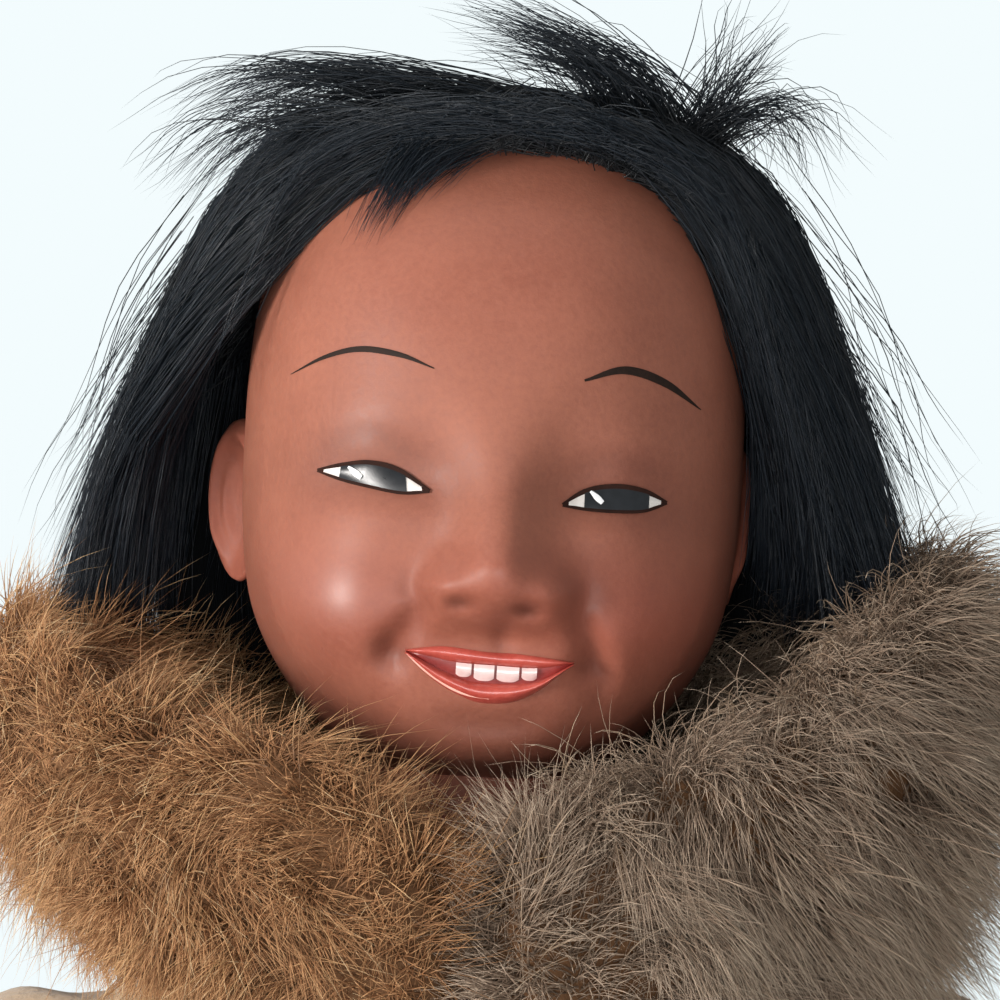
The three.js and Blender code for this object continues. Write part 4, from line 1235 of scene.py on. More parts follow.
WIDE_ROOT = (7.0, 6.0, 1.2)
MIDDLE_ROOT = (4.5, 3.0, 1.2)
NARROW_ROOT = (2.0, 2.0, 1.0)
TALL_ROOT = (4.0, 4.0, 7.0)
TUFTS = (
    Tuft(((-2.0, -4.0, 84.5), (-15.0, -9.0, 87.5), (-27.0, -11.0, 87.0), (-37.0, -10.0, 82.0)),
         280, WIDE_ROOT, 2.2),
    Tuft(((-10.0, -14.0, 81.0), (-21.0, -16.0, 82.5), (-30.0, -14.0, 80.0), (-38.0, -12.0, 73.0)),
         220, WIDE_ROOT, 2.2),
    Tuft(((17.0, -10.0, 82.0), (13.0, -13.0, 88.5), (5.0, -13.0, 93.0), (-4.0, -12.0, 95.0)),
         320, MIDDLE_ROOT, 2.4),
    Tuft(((22.0, -9.0, 80.0), (24.0, -11.0, 86.0), (28.0, -12.0, 91.5), (31.0, -10.0, 95.0)),
         120, NARROW_ROOT, 3.6),
    Tuft(((22.0, -10.0, 80.0), (29.0, -13.0, 85.5), (35.0, -12.0, 86.0), (39.0, -10.0, 80.0)),
         110, NARROW_ROOT, 3.2),
    Tuft(((-4.0, -18.0, 84.0), (-9.0, -23.0, 80.0), (-13.0, -26.5, 74.5), (-16.4, -28.5, 67.5)),
         190, NARROW_ROOT, 0.9),
    Tuft(((3.0, -18.0, 84.5), (-3.0, -23.0, 80.5), (-8.5, -26.0, 77.0), (-13.5, -27.8, 71.5)),
         150, NARROW_ROOT, 0.9),
    Tuft(((33.0, -6.0, 68.0), (42.0, -7.0, 58.0), (48.0, -7.0, 46.0), (53.0, -6.0, 36.0)),
         70, TALL_ROOT, 2.8),
    Tuft(((-33.0, -2.0, 66.0), (-42.0, -3.0, 54.0), (-48.0, -3.0, 42.0), (-52.0, -3.0, 32.0)),
         70, TALL_ROOT, 2.6))


@dataclass
class Wig:
    """The black bob: a dark mass, combed locks, loose tufts and flyaway hairs."""

    head: Head
    shell: Knots = ((0.0, 88.6, 0.0, 0.0, 0.0), (0.1, 87.6, 11.0, 12.0, 13.0),
                    (0.22, 84.4, 24.0, 25.0, 28.0), (0.36, 77.0, 33.0, 31.0, 39.0),
                    (0.52, 65.0, 38.6, 31.5, 45.0), (0.68, 51.0, 43.2, 29.0, 47.0),
                    (0.84, 37.0, 47.2, 26.0, 47.0), (1.0, 24.5, 49.4, 24.0, 46.0),
                    (1.22, 7.6, 50.2, 23.0, 45.0))
    boxiness: float = 0.86
    scalp_gap: float = 0.6
    opening_half: float = 30.6
    opening_spring: float = 48.0
    opening_top: float = 80.0
    opening_power: float = 2.6
    opening_back: float = 8.0
    steps: int = 9
    lowest: float = 1.3
    mass_share: float = 0.66
    mass_wave: float = 0.5
    root_start: float = 0.02
    root_span: float = 0.55
    lock_scatter: float = 0.12
    lock_flare: float = 0.14
    lock_bend: float = 0.09
    root_turn: float = 0.045
    tip_turn: float = 0.04
    height_scatter: float = 0.025
    depth_scatter: float = 0.035
    tip_stray: float = 0.7
    sway: float = 0.22
    hair_radius: float = 0.085
    strays: int = 420
    stray_radius: float = 0.07
    ear_front: float = 4.0
    ear_slope: float = 0.9
    ear_across: float = 31.0
    ear_inner: float = 28.0
    ear_top: float = 53.0
    temple_edge: float = 6.0
    temple_cover: float = 56.0
    ear_cover: float = 73.0
    limits: Array = field(init=False)

    def __post_init__(self) -> None:
        """Measures how far down hair may lie at each angle before it enters the face opening."""
        angles = np.linspace(-math.pi, math.pi, 181)
        shares = np.linspace(0.0, self.lowest, 261)
        around, down = np.meshgrid(angles, shares, indexing="ij")
        bare = self.bare(self.layer(around, down, np.full_like(around, 0.6)))
        first = np.where(bare.any(axis=1), shares[bare.argmax(axis=1)], self.lowest)
        self.limits = np.column_stack((angles, first))

    def outer(self, around: Array, down: Array) -> Array:
        """Finds the bob's outside.

        Args:
            around: Angles from the front; positive on the doll's +X side.
            down: Shares of the way from the crown to the ends.

        Returns:
            Points in the head's frame.
        """
        half = eased(down, self.shell, 2)
        deep = np.where(np.cos(around) > 0.0, eased(down, self.shell, 3), eased(down, self.shell, 4))
        across = half * np.sign(np.sin(around)) * np.abs(np.sin(around)) ** self.boxiness
        along = -deep * np.sign(np.cos(around)) * np.abs(np.cos(around)) ** self.boxiness
        return points_at(across, along, eased(down, self.shell, 1))

    def layer(self, around: Array, down: Array, share: Array) -> Array:
        """Finds points between the scalp and the bob's outside.

        Args:
            around: Angles from the front.
            down: Shares of the way down.
            share: 0 at the scalp, 1 at the outside.

        Returns:
            Points in the head's frame.
        """
        outside = self.outer(around, down)
        middle = np.array([0.0, -self.head.forward, self.head.rise])
        inside = self.head.scalp(unit(outside - middle), self.scalp_gap)
        return inside + (outside - inside) * share[..., None]

    def bare(self, points: Array) -> Array:
        """Tells which points lie in the face opening.

        Args:
            points: Points in the head's frame.

        Returns:
            True where no hair may stand.
        """
        across = np.abs(points[..., 0]) / self.opening_half
        arch = (1.0 - np.clip(across, 0.0, 1.0) ** self.opening_power) ** (1.0 / self.opening_power)
        top = self.opening_spring + (self.opening_top - self.opening_spring) * arch
        return (points[..., 1] < self.opening_back) & (across < 1.0) & (points[..., 2] < top)

    def limit(self, around: Array) -> Array:
        """Reads how far down hair may lie at angles from the front."""
        wrapped = (around + math.pi) % (2.0 * math.pi) - math.pi
        return np.interp(wrapped, self.limits[:, 0], self.limits[:, 1])

    def build(self) -> None:
        """Builds the mass, the wefts and the loose hair."""
        self.build_mass()
        dice = np.random.default_rng(11)
        self.weft("hair_weft_right", dice, 430, 10, (-1.5, 0.6), (-2.0, -1.58), (0.94, 1.22))
        self.weft("hair_weft_crown", dice, 430, 10, (-0.9, 1.0), (-1.85, 1.6))
        self.weft("hair_weft_left", dice, 430, 10, (0.55, 1.5), (1.12, 1.8))
        self.weft("hair_weft_back", dice, 430, 10, (1.4, 4.9), (1.7, 4.6), (1.0, 1.24))
        self.weft("hair_weft_temple", dice, 150, 10, (0.7, 1.35), (1.16, 1.55), (0.88, 1.12), (0.1, 0.6))
        self.build_tufts(dice)

    def build_mass(self) -> None:
        """Builds the dark body of hair under the locks."""
        around, down = np.meshgrid(all_round(160), np.linspace(0.0, self.shell[-1][0], 83))
        grid = self.layer(around, down, np.full_like(around, self.mass_share))
        grid += self.mass_wave * waves(grid * np.array([1.0, 1.0, 0.25]), 5.0, 3)[..., None]
        clear = (down < self.limit(around) - 0.05) | (down < 0.2)
        over_ear = grid[..., 0] < 0.0
        edge = np.where(over_ear, ear_edge(grid[..., 2]), self.temple_edge)
        cover = np.where(over_ear, self.ear_cover, self.temple_cover)
        ahead = (grid[..., 1] < edge) & (grid[..., 2] < cover)
        mass = add_grid("hair_mass", head_to_world(grid), True, keep=clear & ~ahead)
        dress(mass, HAIR_MASS, "head")
        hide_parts("hair_crown", "hair_left", "hair_right", "hair_back")

    def weft(self, name: str, dice: Dice, locks: int, hairs: int, start: Span, end: Span,
             tips: Span = (0.82, 1.12), depths: Span = (0.62, 1.08)) -> None:
        """Builds one weft of combed locks.

        Args:
            name: Name of the piece.
            dice: Random source.
            locks: How many locks it has.
            hairs: Hairs in a lock.
            start: Range of root angles.
            end: Range of angles of the ends.
            tips: Range of heights of the ends as shares of the way down.
            depths: Range of shares of the way from the scalp to the bob's outside.
        """
        share = np.sort(dice.uniform(0.0, 1.0, locks))
        around = start[0] + (start[1] - start[0]) * share
        root = self.root_start + self.root_span * dice.uniform(0.0, 1.0, locks) ** 1.6
        moved = np.clip(share + dice.normal(0.0, self.lock_scatter, locks), 0.0, 1.0)
        ends = end[0] + (end[1] - end[0]) * moved
        tip = dice.uniform(*tips, locks)
        depth = dice.uniform(*depths, locks)
        flare = np.maximum(dice.normal(0.0, self.lock_flare, locks), -0.05)
        each = np.repeat(np.arange(locks), hairs)
        count = len(each)
        step = np.linspace(0.0, 1.0, self.steps)[None, :]
        begin = (around[each] + dice.normal(0.0, self.root_turn, count))[:, None]
        finish = (ends[each] + dice.normal(0.0, self.tip_turn, count))[:, None]
        low = (tip[each] + dice.normal(0.0, self.height_scatter, count))[:, None]
        high = (root[each] + dice.normal(0.0, self.height_scatter, count))[:, None]
        bend = dice.normal(0.0, self.lock_bend, locks)[each][:, None] * np.sin(math.pi * step)
        angle = begin + (finish - begin) * smooth(0.0, 0.8, step) + bend
        edge = self.limit(angle) - np.abs(dice.normal(0.0, self.depth_scatter, (count, 1)))
        down = np.maximum(np.minimum(high + (low - high) * step ** 1.15, edge), 0.005)
        lift = (depth[each] + dice.normal(0.0, self.depth_scatter, count))[:, None] * smooth(-0.3, 0.4, step)
        lift = lift + flare[each][:, None] * step ** 3
        paths = self.layer(angle, down, lift)
        paths[:, 1:-1] = 0.25 * paths[:, :-2] + 0.5 * paths[:, 1:-1] + 0.25 * paths[:, 2:]
        paths += self.tip_stray * dice.normal(size=(count, 1, 3)) * step[..., None] ** 2
        swing = np.sin(2.0 * math.pi * (1.3 * step + dice.uniform(0.0, 1.0, (count, 1))))
        paths += self.sway * dice.normal(size=(count, 1, 3)) * swing[..., None]
        face_half = np.where(paths[..., 0] < 0.0, 36.0, 29.0)
        within = (np.abs(paths[..., 0]) < face_half) & (paths[..., 2] < self.opening_spring)
        ahead = within & (paths[..., 1] < 1.0)
        self.strands(name, dice, paths[~ahead.any(axis=1)], self.hair_radius)

    def strands(self, name: str, dice: Dice, paths: Array, radius: float) -> None:
        """Turns paths into dressed hairs, without those that would hide the right ear.

        Args:
            name: Name of the piece.
            dice: Random source.
            paths: Points by hair and step in the head's frame.
            radius: Mean radius of a hair.
        """
        aside = np.abs(paths[..., 0])
        before_ear = paths[..., 1] < self.ear_front - self.ear_slope * (aside - self.ear_across)
        beside = (paths[..., 0] < 0.0) & (aside > self.ear_inner)
        hides_ear = beside & before_ear & (paths[..., 2] < self.ear_top)
        paths = paths[~hides_ear.any(axis=1)]
        count = len(paths)
        hair = add_strands(name, head_to_world(paths), radius * dice.uniform(0.7, 1.3, count),
                           dice.uniform(0.0, 1.0, count), 3.0)
        dress(hair, HAIR, "head")

    def tuft(self, dice: Dice, tuft: Tuft) -> Array:
        """Lays loose hairs along a tuft's line.

        Args:
            dice: Random source.
            tuft: The tuft.

        Returns:
            Points by hair and step.
        """
        path = curve_through(tuft.line, self.steps)
        step = np.linspace(0.0, 1.0, self.steps)[None, :, None]
        reach = dice.uniform(0.6, 1.1, (tuft.count, 1, 1))
        along = path[0] + (path[None] - path[0]) * reach
        start = dice.normal(size=(tuft.count, 1, 3)) * np.array(tuft.root)
        drift = dice.normal(0.0, tuft.fan, (tuft.count, 1, 3))
        curl = dice.normal(0.0, 0.4 * tuft.fan, (tuft.count, 1, 3)) * np.sin(2.0 * math.pi * step)
        return along + start * (1.0 - 0.5 * step) + drift * step ** 1.6 + curl * step

    def flyaways(self, dice: Dice) -> Array:
        """Lays single hairs that stand off the bob, outside the face opening.

        Args:
            dice: Random source.

        Returns:
            Points by hair and step.
        """
        each = (self.strays, 1)
        around = dice.uniform(-math.pi, math.pi, each)
        step = np.linspace(0.0, 1.0, self.steps)[None, :]
        high = dice.uniform(0.04, 0.6, each)
        low = high + dice.uniform(0.2, 0.45, each)
        angle = around + dice.normal(0.0, 0.3, each) * step
        lift = 0.9 + dice.uniform(0.05, 0.5, each) * step ** 1.5
        stray = self.layer(angle, high + (low - high) * step, lift)
        stray += dice.normal(0.0, 1.2, (*each, 3)) * step[..., None] ** 2
        ahead = (stray[..., 1] < 0.0) & (stray[..., 2] < self.opening_top) & (np.abs(stray[..., 0]) < 33.0)
        return stray[~ahead.any(axis=1)]

    def build_tufts(self, dice: Dice) -> None:
        """Builds the loose tufts on the crown, the forelock and the flyaways.

        Args:
            dice: Random source.
        """
        parts = [self.tuft(dice, tuft) for tuft in TUFTS]
        parts.append(self.flyaways(dice))
        self.strands("hair_tufts", dice, np.concatenate(parts), self.stray_radius)


@dataclass(frozen=True)
class FurCoat:
    """How one kind of hair grows on a fur core, in clumps that draw together at their tips."""

    clumps: int
    hairs: int
    length: Span
    radius: float
    finish: StrandFinish
    steps: int = 4
    spread: float = 1.3
    gather: float = 0.7
    splay: float = 0.16
    upright: float = 1.0
    tousle: float = 0.7
    ruffle: float = 0.45
    lift: float = -0.6
    drift_length: float = 13.0
    length_wave: float = 8.0
    length_change: float = 0.12
    tone_wave: float = 11.0
    tone_change: float = 0.3
    tone_scatter: float = 0.12


def grow(name: str, body: str, coat: FurCoat, seed: int, roots: Array, normals: Array, pull: Array) -> None:
    """Grows fur.

    Hairs that reach fore or aft past FUR_DEPTH are pressed back to keep within FUR_ROOM of it.

    Args:
        name: Name of the piece.
        body: Body that it rides on.
        coat: The kind of hair.
        seed: Seed of the random source.
        roots: Middle of each clump.
        normals: Surface normals there.
        pull: Bend of the clumps relative to their length.
    """
    dice = np.random.default_rng(seed)
    aside = unit(np.cross(normals, dice.normal(size=normals.shape)))
    over = np.cross(normals, aside)
    drift = np.stack([waves(roots, coat.drift_length, number) for number in (1, 2, 3)], axis=-1)
    jitter = coat.ruffle * dice.normal(size=normals.shape)
    heading = unit(coat.upright * normals + coat.tousle * (drift + jitter))
    change = 1.0 + coat.length_change * waves(roots, coat.length_wave, seed + 4)
    length = dice.uniform(*coat.length, len(roots)) * change
    tone = 0.5 + coat.tone_change * waves(roots, coat.tone_wave, seed + 5)
    tone = tone + coat.tone_scatter * dice.normal(size=len(roots))
    each = np.repeat(np.arange(len(roots)), coat.hairs)
    count = len(each)
    angle = dice.uniform(0.0, 2.0 * math.pi, (count, 1))
    far = coat.spread * np.sqrt(dice.uniform(0.0, 1.0, (count, 1)))
    offset = far * (aside[each] * np.cos(angle) + over[each] * np.sin(angle))
    reach = (length[each] * dice.uniform(0.7, 1.1, count))[:, None, None]
    step = np.linspace(0.0, 1.0, coat.steps)[None, :, None]
    stray = coat.splay * dice.normal(size=(count, 1, 3)) * step ** 1.3
    bend = pull[each][:, None] * step ** 1.8
    start = (roots[each] + coat.lift * normals[each])[:, None] + offset[:, None] * (1.0 - coat.gather * step)
    paths = start + reach * (heading[each][:, None] * step + bend + stray)
    excess = np.maximum(np.abs(paths[..., 1]) - FUR_DEPTH, 0.0)
    pressed = FUR_ROOM * (1.0 - np.exp(-excess / FUR_ROOM)) - excess
    paths[..., 1] += np.sign(paths[..., 1]) * pressed
    tint = np.clip(tone[each] + dice.normal(0.0, coat.tone_scatter, count), 0.0, 1.0)
    fur = add_strands(name, paths, coat.radius * dice.uniform(0.7, 1.3, count), tint, 1.5)
    dress(fur, coat.finish, body)


def vertex_values(mesh: Mesh, key: str) -> Array:
    """Reads a vector of each vertex.

    Args:
        mesh: The mesh.
        key: Name of the vector.

    Returns:
        The vectors by vertex.
    """
    values = np.empty(len(mesh.vertices) * 3, np.float32)
    mesh.vertices.foreach_get(key, values)
    return values.reshape(-1, 3)


def node_roots(node: str, count: int, seed: int) -> tuple[Array, Array]:
    """Picks even places on the outside of a CAD solid that is a ring.

    Args:
        node: Name of the CAD node.
        count: How many places.
        seed: Seed of the random source.

    Returns:
        Points and outward normals.
    """
    dice = np.random.default_rng(seed)
    mesh = frame["nodes"][node].data
    mesh.calc_loop_triangles()
    corners = np.empty(len(mesh.loop_triangles) * 3, np.int32)
    mesh.loop_triangles.foreach_get("vertices", corners)
    triangles = vertex_values(mesh, "co")[corners.reshape(-1, 3)].astype(float) / MM
    across = np.cross(triangles[:, 1] - triangles[:, 0], triangles[:, 2] - triangles[:, 0])
    area = np.linalg.norm(across, axis=1)
    tries = 3 * count
    pick = dice.choice(len(area), tries, p=area / area.sum())
    first, second = dice.uniform(0.0, 1.0, (2, tries, 1))
    over = first + second > 1.0
    first, second = np.where(over, 1.0 - first, first), np.where(over, 1.0 - second, second)
    corner = triangles[pick]
    roots = corner[:, 0] + first * (corner[:, 1] - corner[:, 0]) + second * (corner[:, 2] - corner[:, 0])
    normals = unit(across[pick])
    outward = unit((roots - roots.mean(axis=0)) * np.array([1.0, 1.0, 0.0]))
    least_outward = -0.35
    outside = (normals * outward).sum(axis=1) > least_outward
    return roots[outside][:count], normals[outside][:count]


@dataclass(frozen=True)
class CollarHalf:
    """How one half of the collar stands and is furred."""

    drop: float
    rise: float
    stretch: float
    cheek: float
    comb: Place
    under: StrandFinish
    guard: StrandFinish
    length: Span

    def coats(self) -> dict[str, FurCoat]:
        """Lists the coats of hair from the skin outwards.

        Returns:
            Coats by part name.
        """
        short, long = self.length
        base = FurCoat(3200, 4, (short - 2.5, long - 2.5), 0.16, self.under,
                       spread=2.2, gather=0.1, splay=0.2)
        soft = FurCoat(1000, 13, self.length, 0.1, self.under,
                       spread=2.0, gather=0.5, splay=0.22, upright=0.75)
        guard = FurCoat(1500, 2, (short + 2.0, long + 3.5), 0.085, self.guard, steps=5, spread=1.5,
                        gather=0.0, splay=0.12, upright=0.5, tousle=0.85, ruffle=0.8, lift=3.0)
        down = FurCoat(2350, 4, (short + 1.0, long + 2.0), 0.055, self.under, steps=5, spread=1.6,
                       gather=0.2, splay=0.3, upright=0.6, tousle=0.8, ruffle=0.6, lift=1.5)
        return {"base": base, "under_a": soft, "under_b": soft, "under_c": soft, "guard": guard, "down": down}


COLLAR_HALVES = {
    Side.RIGHT: CollarHalf(drop=2.6, rise=14.0, stretch=-2.5, cheek=4.8, comb=(0.22, -0.08, -0.25),
                           under=FUR_GOLD, guard=GUARD_GOLD, length=(7.0, 9.5)),
    Side.LEFT: CollarHalf(drop=3.2, rise=12.0, stretch=6.0, cheek=1.0, comb=(0.3, -0.05, -0.6),
                          under=FUR_GREY, guard=GUARD_GREY, length=(8.0, 11.0))}


@dataclass
class Collar:
    """The thick fur collar in two halves that meet at the chin."""

    side_reach: float = 51.0
    front_reach: float = 46.0
    front_height: float = 303.0
    back_height: float = 316.0
    half_thick: float = 9.5
    half_tall: float = 17.0
    lean: float = math.radians(15.0)
    inset: float = 1.0
    chin: float = 2.0
    chin_spread: float = 7.0
    cheek_turn: float = 0.4
    cheek_spread: float = 0.17
    seam_gap: float = 0.03
    furred_start: float = -0.25
    furred_share: float = 0.88

    def surface(self, side: Side, along: Array, around: Array) -> Array:
        """Finds points on one half.

        Args:
            side: Which half.
            along: Shares from the front seam to the back seam.
            around: Shares around the roll.

        Returns:
            Points in the CAD's frame.
        """
        half = COLLAR_HALVES[side]
        turn = side.value * (self.seam_gap + along * (math.pi - 2.0 * self.seam_gap))
        section = side.value * 2.0 * math.pi * around
        sideways = np.sin(turn) ** 2
        ends = np.clip(smooth(0.0, 0.03, along) * smooth(1.0, 0.97, along), 0.05, 1.0) ** 0.5
        out = (self.half_thick - self.inset) * np.cos(section) * ends
        up = (self.half_tall - self.inset + half.stretch * sideways) * np.sin(section) * ends
        middle = self.front_height + (self.back_height - self.front_height) * np.abs(np.sin(turn / 2.0))
        middle = middle + half.rise * sideways - half.drop * np.clip(np.cos(turn), 0.0, 1.0) ** 2
        middle = middle + half.cheek * bell((np.abs(turn) - self.cheek_turn) / self.cheek_spread)
        reach = out * math.cos(self.lean) + up * math.sin(self.lean)
        rise = up * math.cos(self.lean) - out * math.sin(self.lean)
        across = (self.side_reach + reach) * np.sin(turn)
        deep = -(self.front_reach + reach) * np.cos(turn)
        return points_at(across, deep, middle + rise)

    def roots(self, side: Side, count: int, seed: int) -> tuple[Array, Array]:
        """Picks places for fur on one half.

        Args:
            side: Which half.
            count: How many places.
            seed: Seed of the random source.

        Returns:
            Points and outward normals.
        """
        along, around = np.random.default_rng(seed).uniform(0.0, 1.0, (2, count))
        around = self.furred_share * around + self.furred_start
        small = 1e-3
        places = self.surface(side, along, around)
        ahead = self.surface(side, along + small, around) - places
        above = self.surface(side, along, around + small) - places
        return places, unit(np.cross(ahead, above))

    def pull(self, side: Side, roots: Array) -> Array:
        """Finds how one half is combed: down and aside, and apart under the chin.

        Args:
            side: Which half.
            roots: Roots of the fur.

        Returns:
            Bends relative to the hairs' length.
        """
        chin = (bell((roots[:, 0] - self.chin) / self.chin_spread) * (roots[:, 1] < 0.0))[:, None]
        parting = np.array([0.1 * side.value, -0.05, 0.2])
        return np.array(COLLAR_HALVES[side].comb) * (1.0 - chin) + parting * chin

    def build(self) -> None:
        """Builds both halves: core, underfur and guard hairs."""
        shares = np.linspace(0.0, 1.0, 48, endpoint=False)
        along, around = np.meshgrid(np.linspace(0.0, 1.0, 90), shares, indexing="ij")
        for number, (side, half) in enumerate(COLLAR_HALVES.items()):
            word = side.word
            core = add_grid(f"collar_core_{word}", self.surface(side, along, around), True)
            dress(core, FUR_CORE, "torso")
            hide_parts(f"collar_{word}")
            for layer, (part, coat) in enumerate(half.coats().items()):
                seed = 20 + 80 * number + 9 * layer
                roots, normals = self.roots(side, coat.clumps, seed)
                grow(f"collar_{part}_{word}", "torso", coat, seed, roots, normals, self.pull(side, roots))


# Clothes


def rough(height: float, length: float, seed: int) -> Callable[[Array], Array]:
    """Makes a function that gives points seeded moves along their normals, for soften."""
    def moves(points: Array) -> Array:
        """Finds the points' moves along their normals."""
        return height * waves(points, length, seed)
    return moves


def soften(node: str, name: str, voxel: float, rounds: int, wrinkle: Callable[[Array], Array],
           reshape: Callable[[Array], Array] | None = None) -> Object:
    """Makes a soft piece from a CAD solid: rounded off, then reshaped and wrinkled.

    Args:
        node: Name of the CAD node that it replaces.
        name: Name of the piece.
        voxel: Size of its cells.
        rounds: Rounds of smoothing.
        wrinkle: Gives how far points move along their normals.
        reshape: Gives new places for the points before they are wrinkled, or None.

    Returns:
        The linked piece.
    """
    piece = link(name, frame["nodes"][node].data.copy())
    remesh = piece.modifiers.new("remesh", "REMESH")
    remesh.mode = "VOXEL"
    remesh.voxel_size = voxel * MM
    relax = piece.modifiers.new("relax", "SMOOTH")
    relax.factor = 0.5
    relax.iterations = rounds
    graph = bpy.context.evaluated_depsgraph_get()
    mesh = bpy.data.meshes.new_from_object(piece.evaluated_get(graph))
    piece.modifiers.clear()
    piece.data = mesh
    points = vertex_values(mesh, "co") / MM
    placed = points if reshape is None else reshape(points)
    moved = placed + vertex_values(mesh, "normal") * wrinkle(points)[:, None]
    mesh.vertices.foreach_set("co", (moved * MM).astype(np.float32).ravel())
    mesh.polygons.foreach_set("use_smooth", np.ones(len(mesh.polygons), bool))
    mesh.update()
    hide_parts(node)
    return piece


@dataclass(frozen=True)
class Trim:
    """A fur trim in place of a CAD node that is a ring."""

    node: str
    body: str
    clumps: int
    length: Span
    seed: int
    comb: Place = (0.0, 0.0, -0.45)

    def build(self) -> None:
        """Builds the skin side and three coats of hair."""
        core = soften(self.node, f"{self.node}_core", 1.2, 4, rough(0.3, 6.0, self.seed))
        dress(core, FUR_CORE, self.body)
        short, long = self.length
        base = FurCoat(self.clumps, 7, (short - 2.0, long - 2.0), 0.16, FUR_GOLD,
                       spread=2.4, gather=0.1, splay=0.2)
        under = FurCoat(self.clumps, 11, self.length, 0.11, FUR_GOLD, spread=1.5, gather=0.6, splay=0.2)
        guard = FurCoat(self.clumps // 2, 2, (short + 1.5, long + 2.0), 0.08, GUARD_GOLD, steps=5, spread=1.0,
                        gather=0.1, splay=0.2, upright=0.6, tousle=0.8, ruffle=0.8, lift=1.0)
        coats = {"base": base, "under": under, "guard": guard}
        for layer, (part, coat) in enumerate(coats.items()):
            seed = self.seed + 3 * layer
            roots, normals = node_roots(self.node, coat.clumps, seed)
            comb = np.broadcast_to(np.array(self.comb), roots.shape)
            grow(f"{self.node}_{part}", self.body, coat, seed, roots, normals, comb)


def lay_on(piece: Object, guess: Array, lift: float) -> tuple[Array, Array]:
    """Drops points onto a piece.

    Args:
        piece: The piece.
        guess: Points near its surface.
        lift: Distance that they keep above it.

    Returns:
        The points on the piece and its normals there.
    """
    bpy.context.view_layer.update()
    flat = guess.reshape(-1, 3)
    places = np.empty_like(flat)
    normals = np.empty_like(flat)
    for number, point in enumerate(flat):
        _, place, normal, _ = piece.closest_point_on_mesh(Vector(point * MM))
        normals[number] = normal
        places[number] = np.array(place) / MM + lift * normals[number]
    return places.reshape(guess.shape), normals.reshape(guess.shape)


def add_tubes(name: str, paths: Array, radius: float, sides: int) -> Object:
    """Makes round threads along paths, with closed ends.

    Args:
        name: Name of the piece.
        paths: Points by thread and step.
        radius: Radius of a thread.
        sides: Sides of a thread.

    Returns:
        The linked object.
    """
    count, steps = paths.shape[:2]
    aside, above = sides_of(paths, np.array([0.31, 0.52, 0.79]))
    ends = np.ones(steps)
    ends[0] = ends[-1] = 0.25
    angle = np.linspace(0.0, 2.0 * math.pi, sides, endpoint=False)
    ring = aside[:, :, None] * np.cos(angle)[:, None] + above[:, :, None] * np.sin(angle)[:, None]
    points = (paths[:, :, None] + radius * ends[None, :, None, None] * ring).reshape(count, -1, 3)
    quads = grid_faces(steps, sides, True).reshape(-1)
    caps = np.concatenate((np.arange(sides)[::-1], (steps - 1) * sides + np.arange(sides)))
    pattern = np.concatenate((quads, caps))
    corners = (np.arange(count)[:, None] * points.shape[1] + pattern).reshape(-1)
    sizes = np.tile(np.concatenate((np.full(len(quads) // 4, 4), [sides, sides])), count)
    return add_mesh(name, points.reshape(-1, 3), corners, sizes, {})


def stitch(name: str, body: str, piece: Object, guess: Array, length: float = 2.4) -> None:
    """Sews a row of stitches on a piece.

    Args:
        name: Name of the row.
        body: Body that it rides on.
        piece: The piece that is sewn.
        guess: Middle of each stitch, near the surface.
        length: Length of a stitch.
    """
    middle, normals = lay_on(piece, guess, 0.15)
    heading = unit(np.gradient(middle, axis=0))
    step = np.linspace(-0.5, 0.5, 5)[None, :, None]
    arch = 0.35 - 1.4 * np.abs(step) ** 2
    paths = middle[:, None] + heading[:, None] * step * length + normals[:, None] * arch
    dress(add_tubes(name, paths, 0.3, 6), THREAD, body)


def patches(name: str, body: str, piece: Object, guess: Array, lift: float, finish: Finish) -> None:
    """Sews flat strips or patches onto a piece.

    Args:
        name: Name of the set.
        body: Body that they ride on.
        piece: The piece under them.
        guess: Points by patch, row and column.
        lift: Their thickness.
        finish: Their finish.
    """
    places, _ = lay_on(piece, guess, lift)
    buried, _ = lay_on(piece, guess, -0.4)
    places[:, 0], places[:, -1] = buried[:, 0], buried[:, -1]
    places[:, :, 0], places[:, :, -1] = buried[:, :, 0], buried[:, :, -1]
    count, rows, columns = places.shape[:3]
    quads = grid_faces(rows, columns, False).reshape(-1)
    corners = (np.arange(count)[:, None] * rows * columns + quads).reshape(-1)
    dress(add_mesh(name, places.reshape(-1, 3), corners, np.full(len(corners) // 4, 4), {}), finish, body)


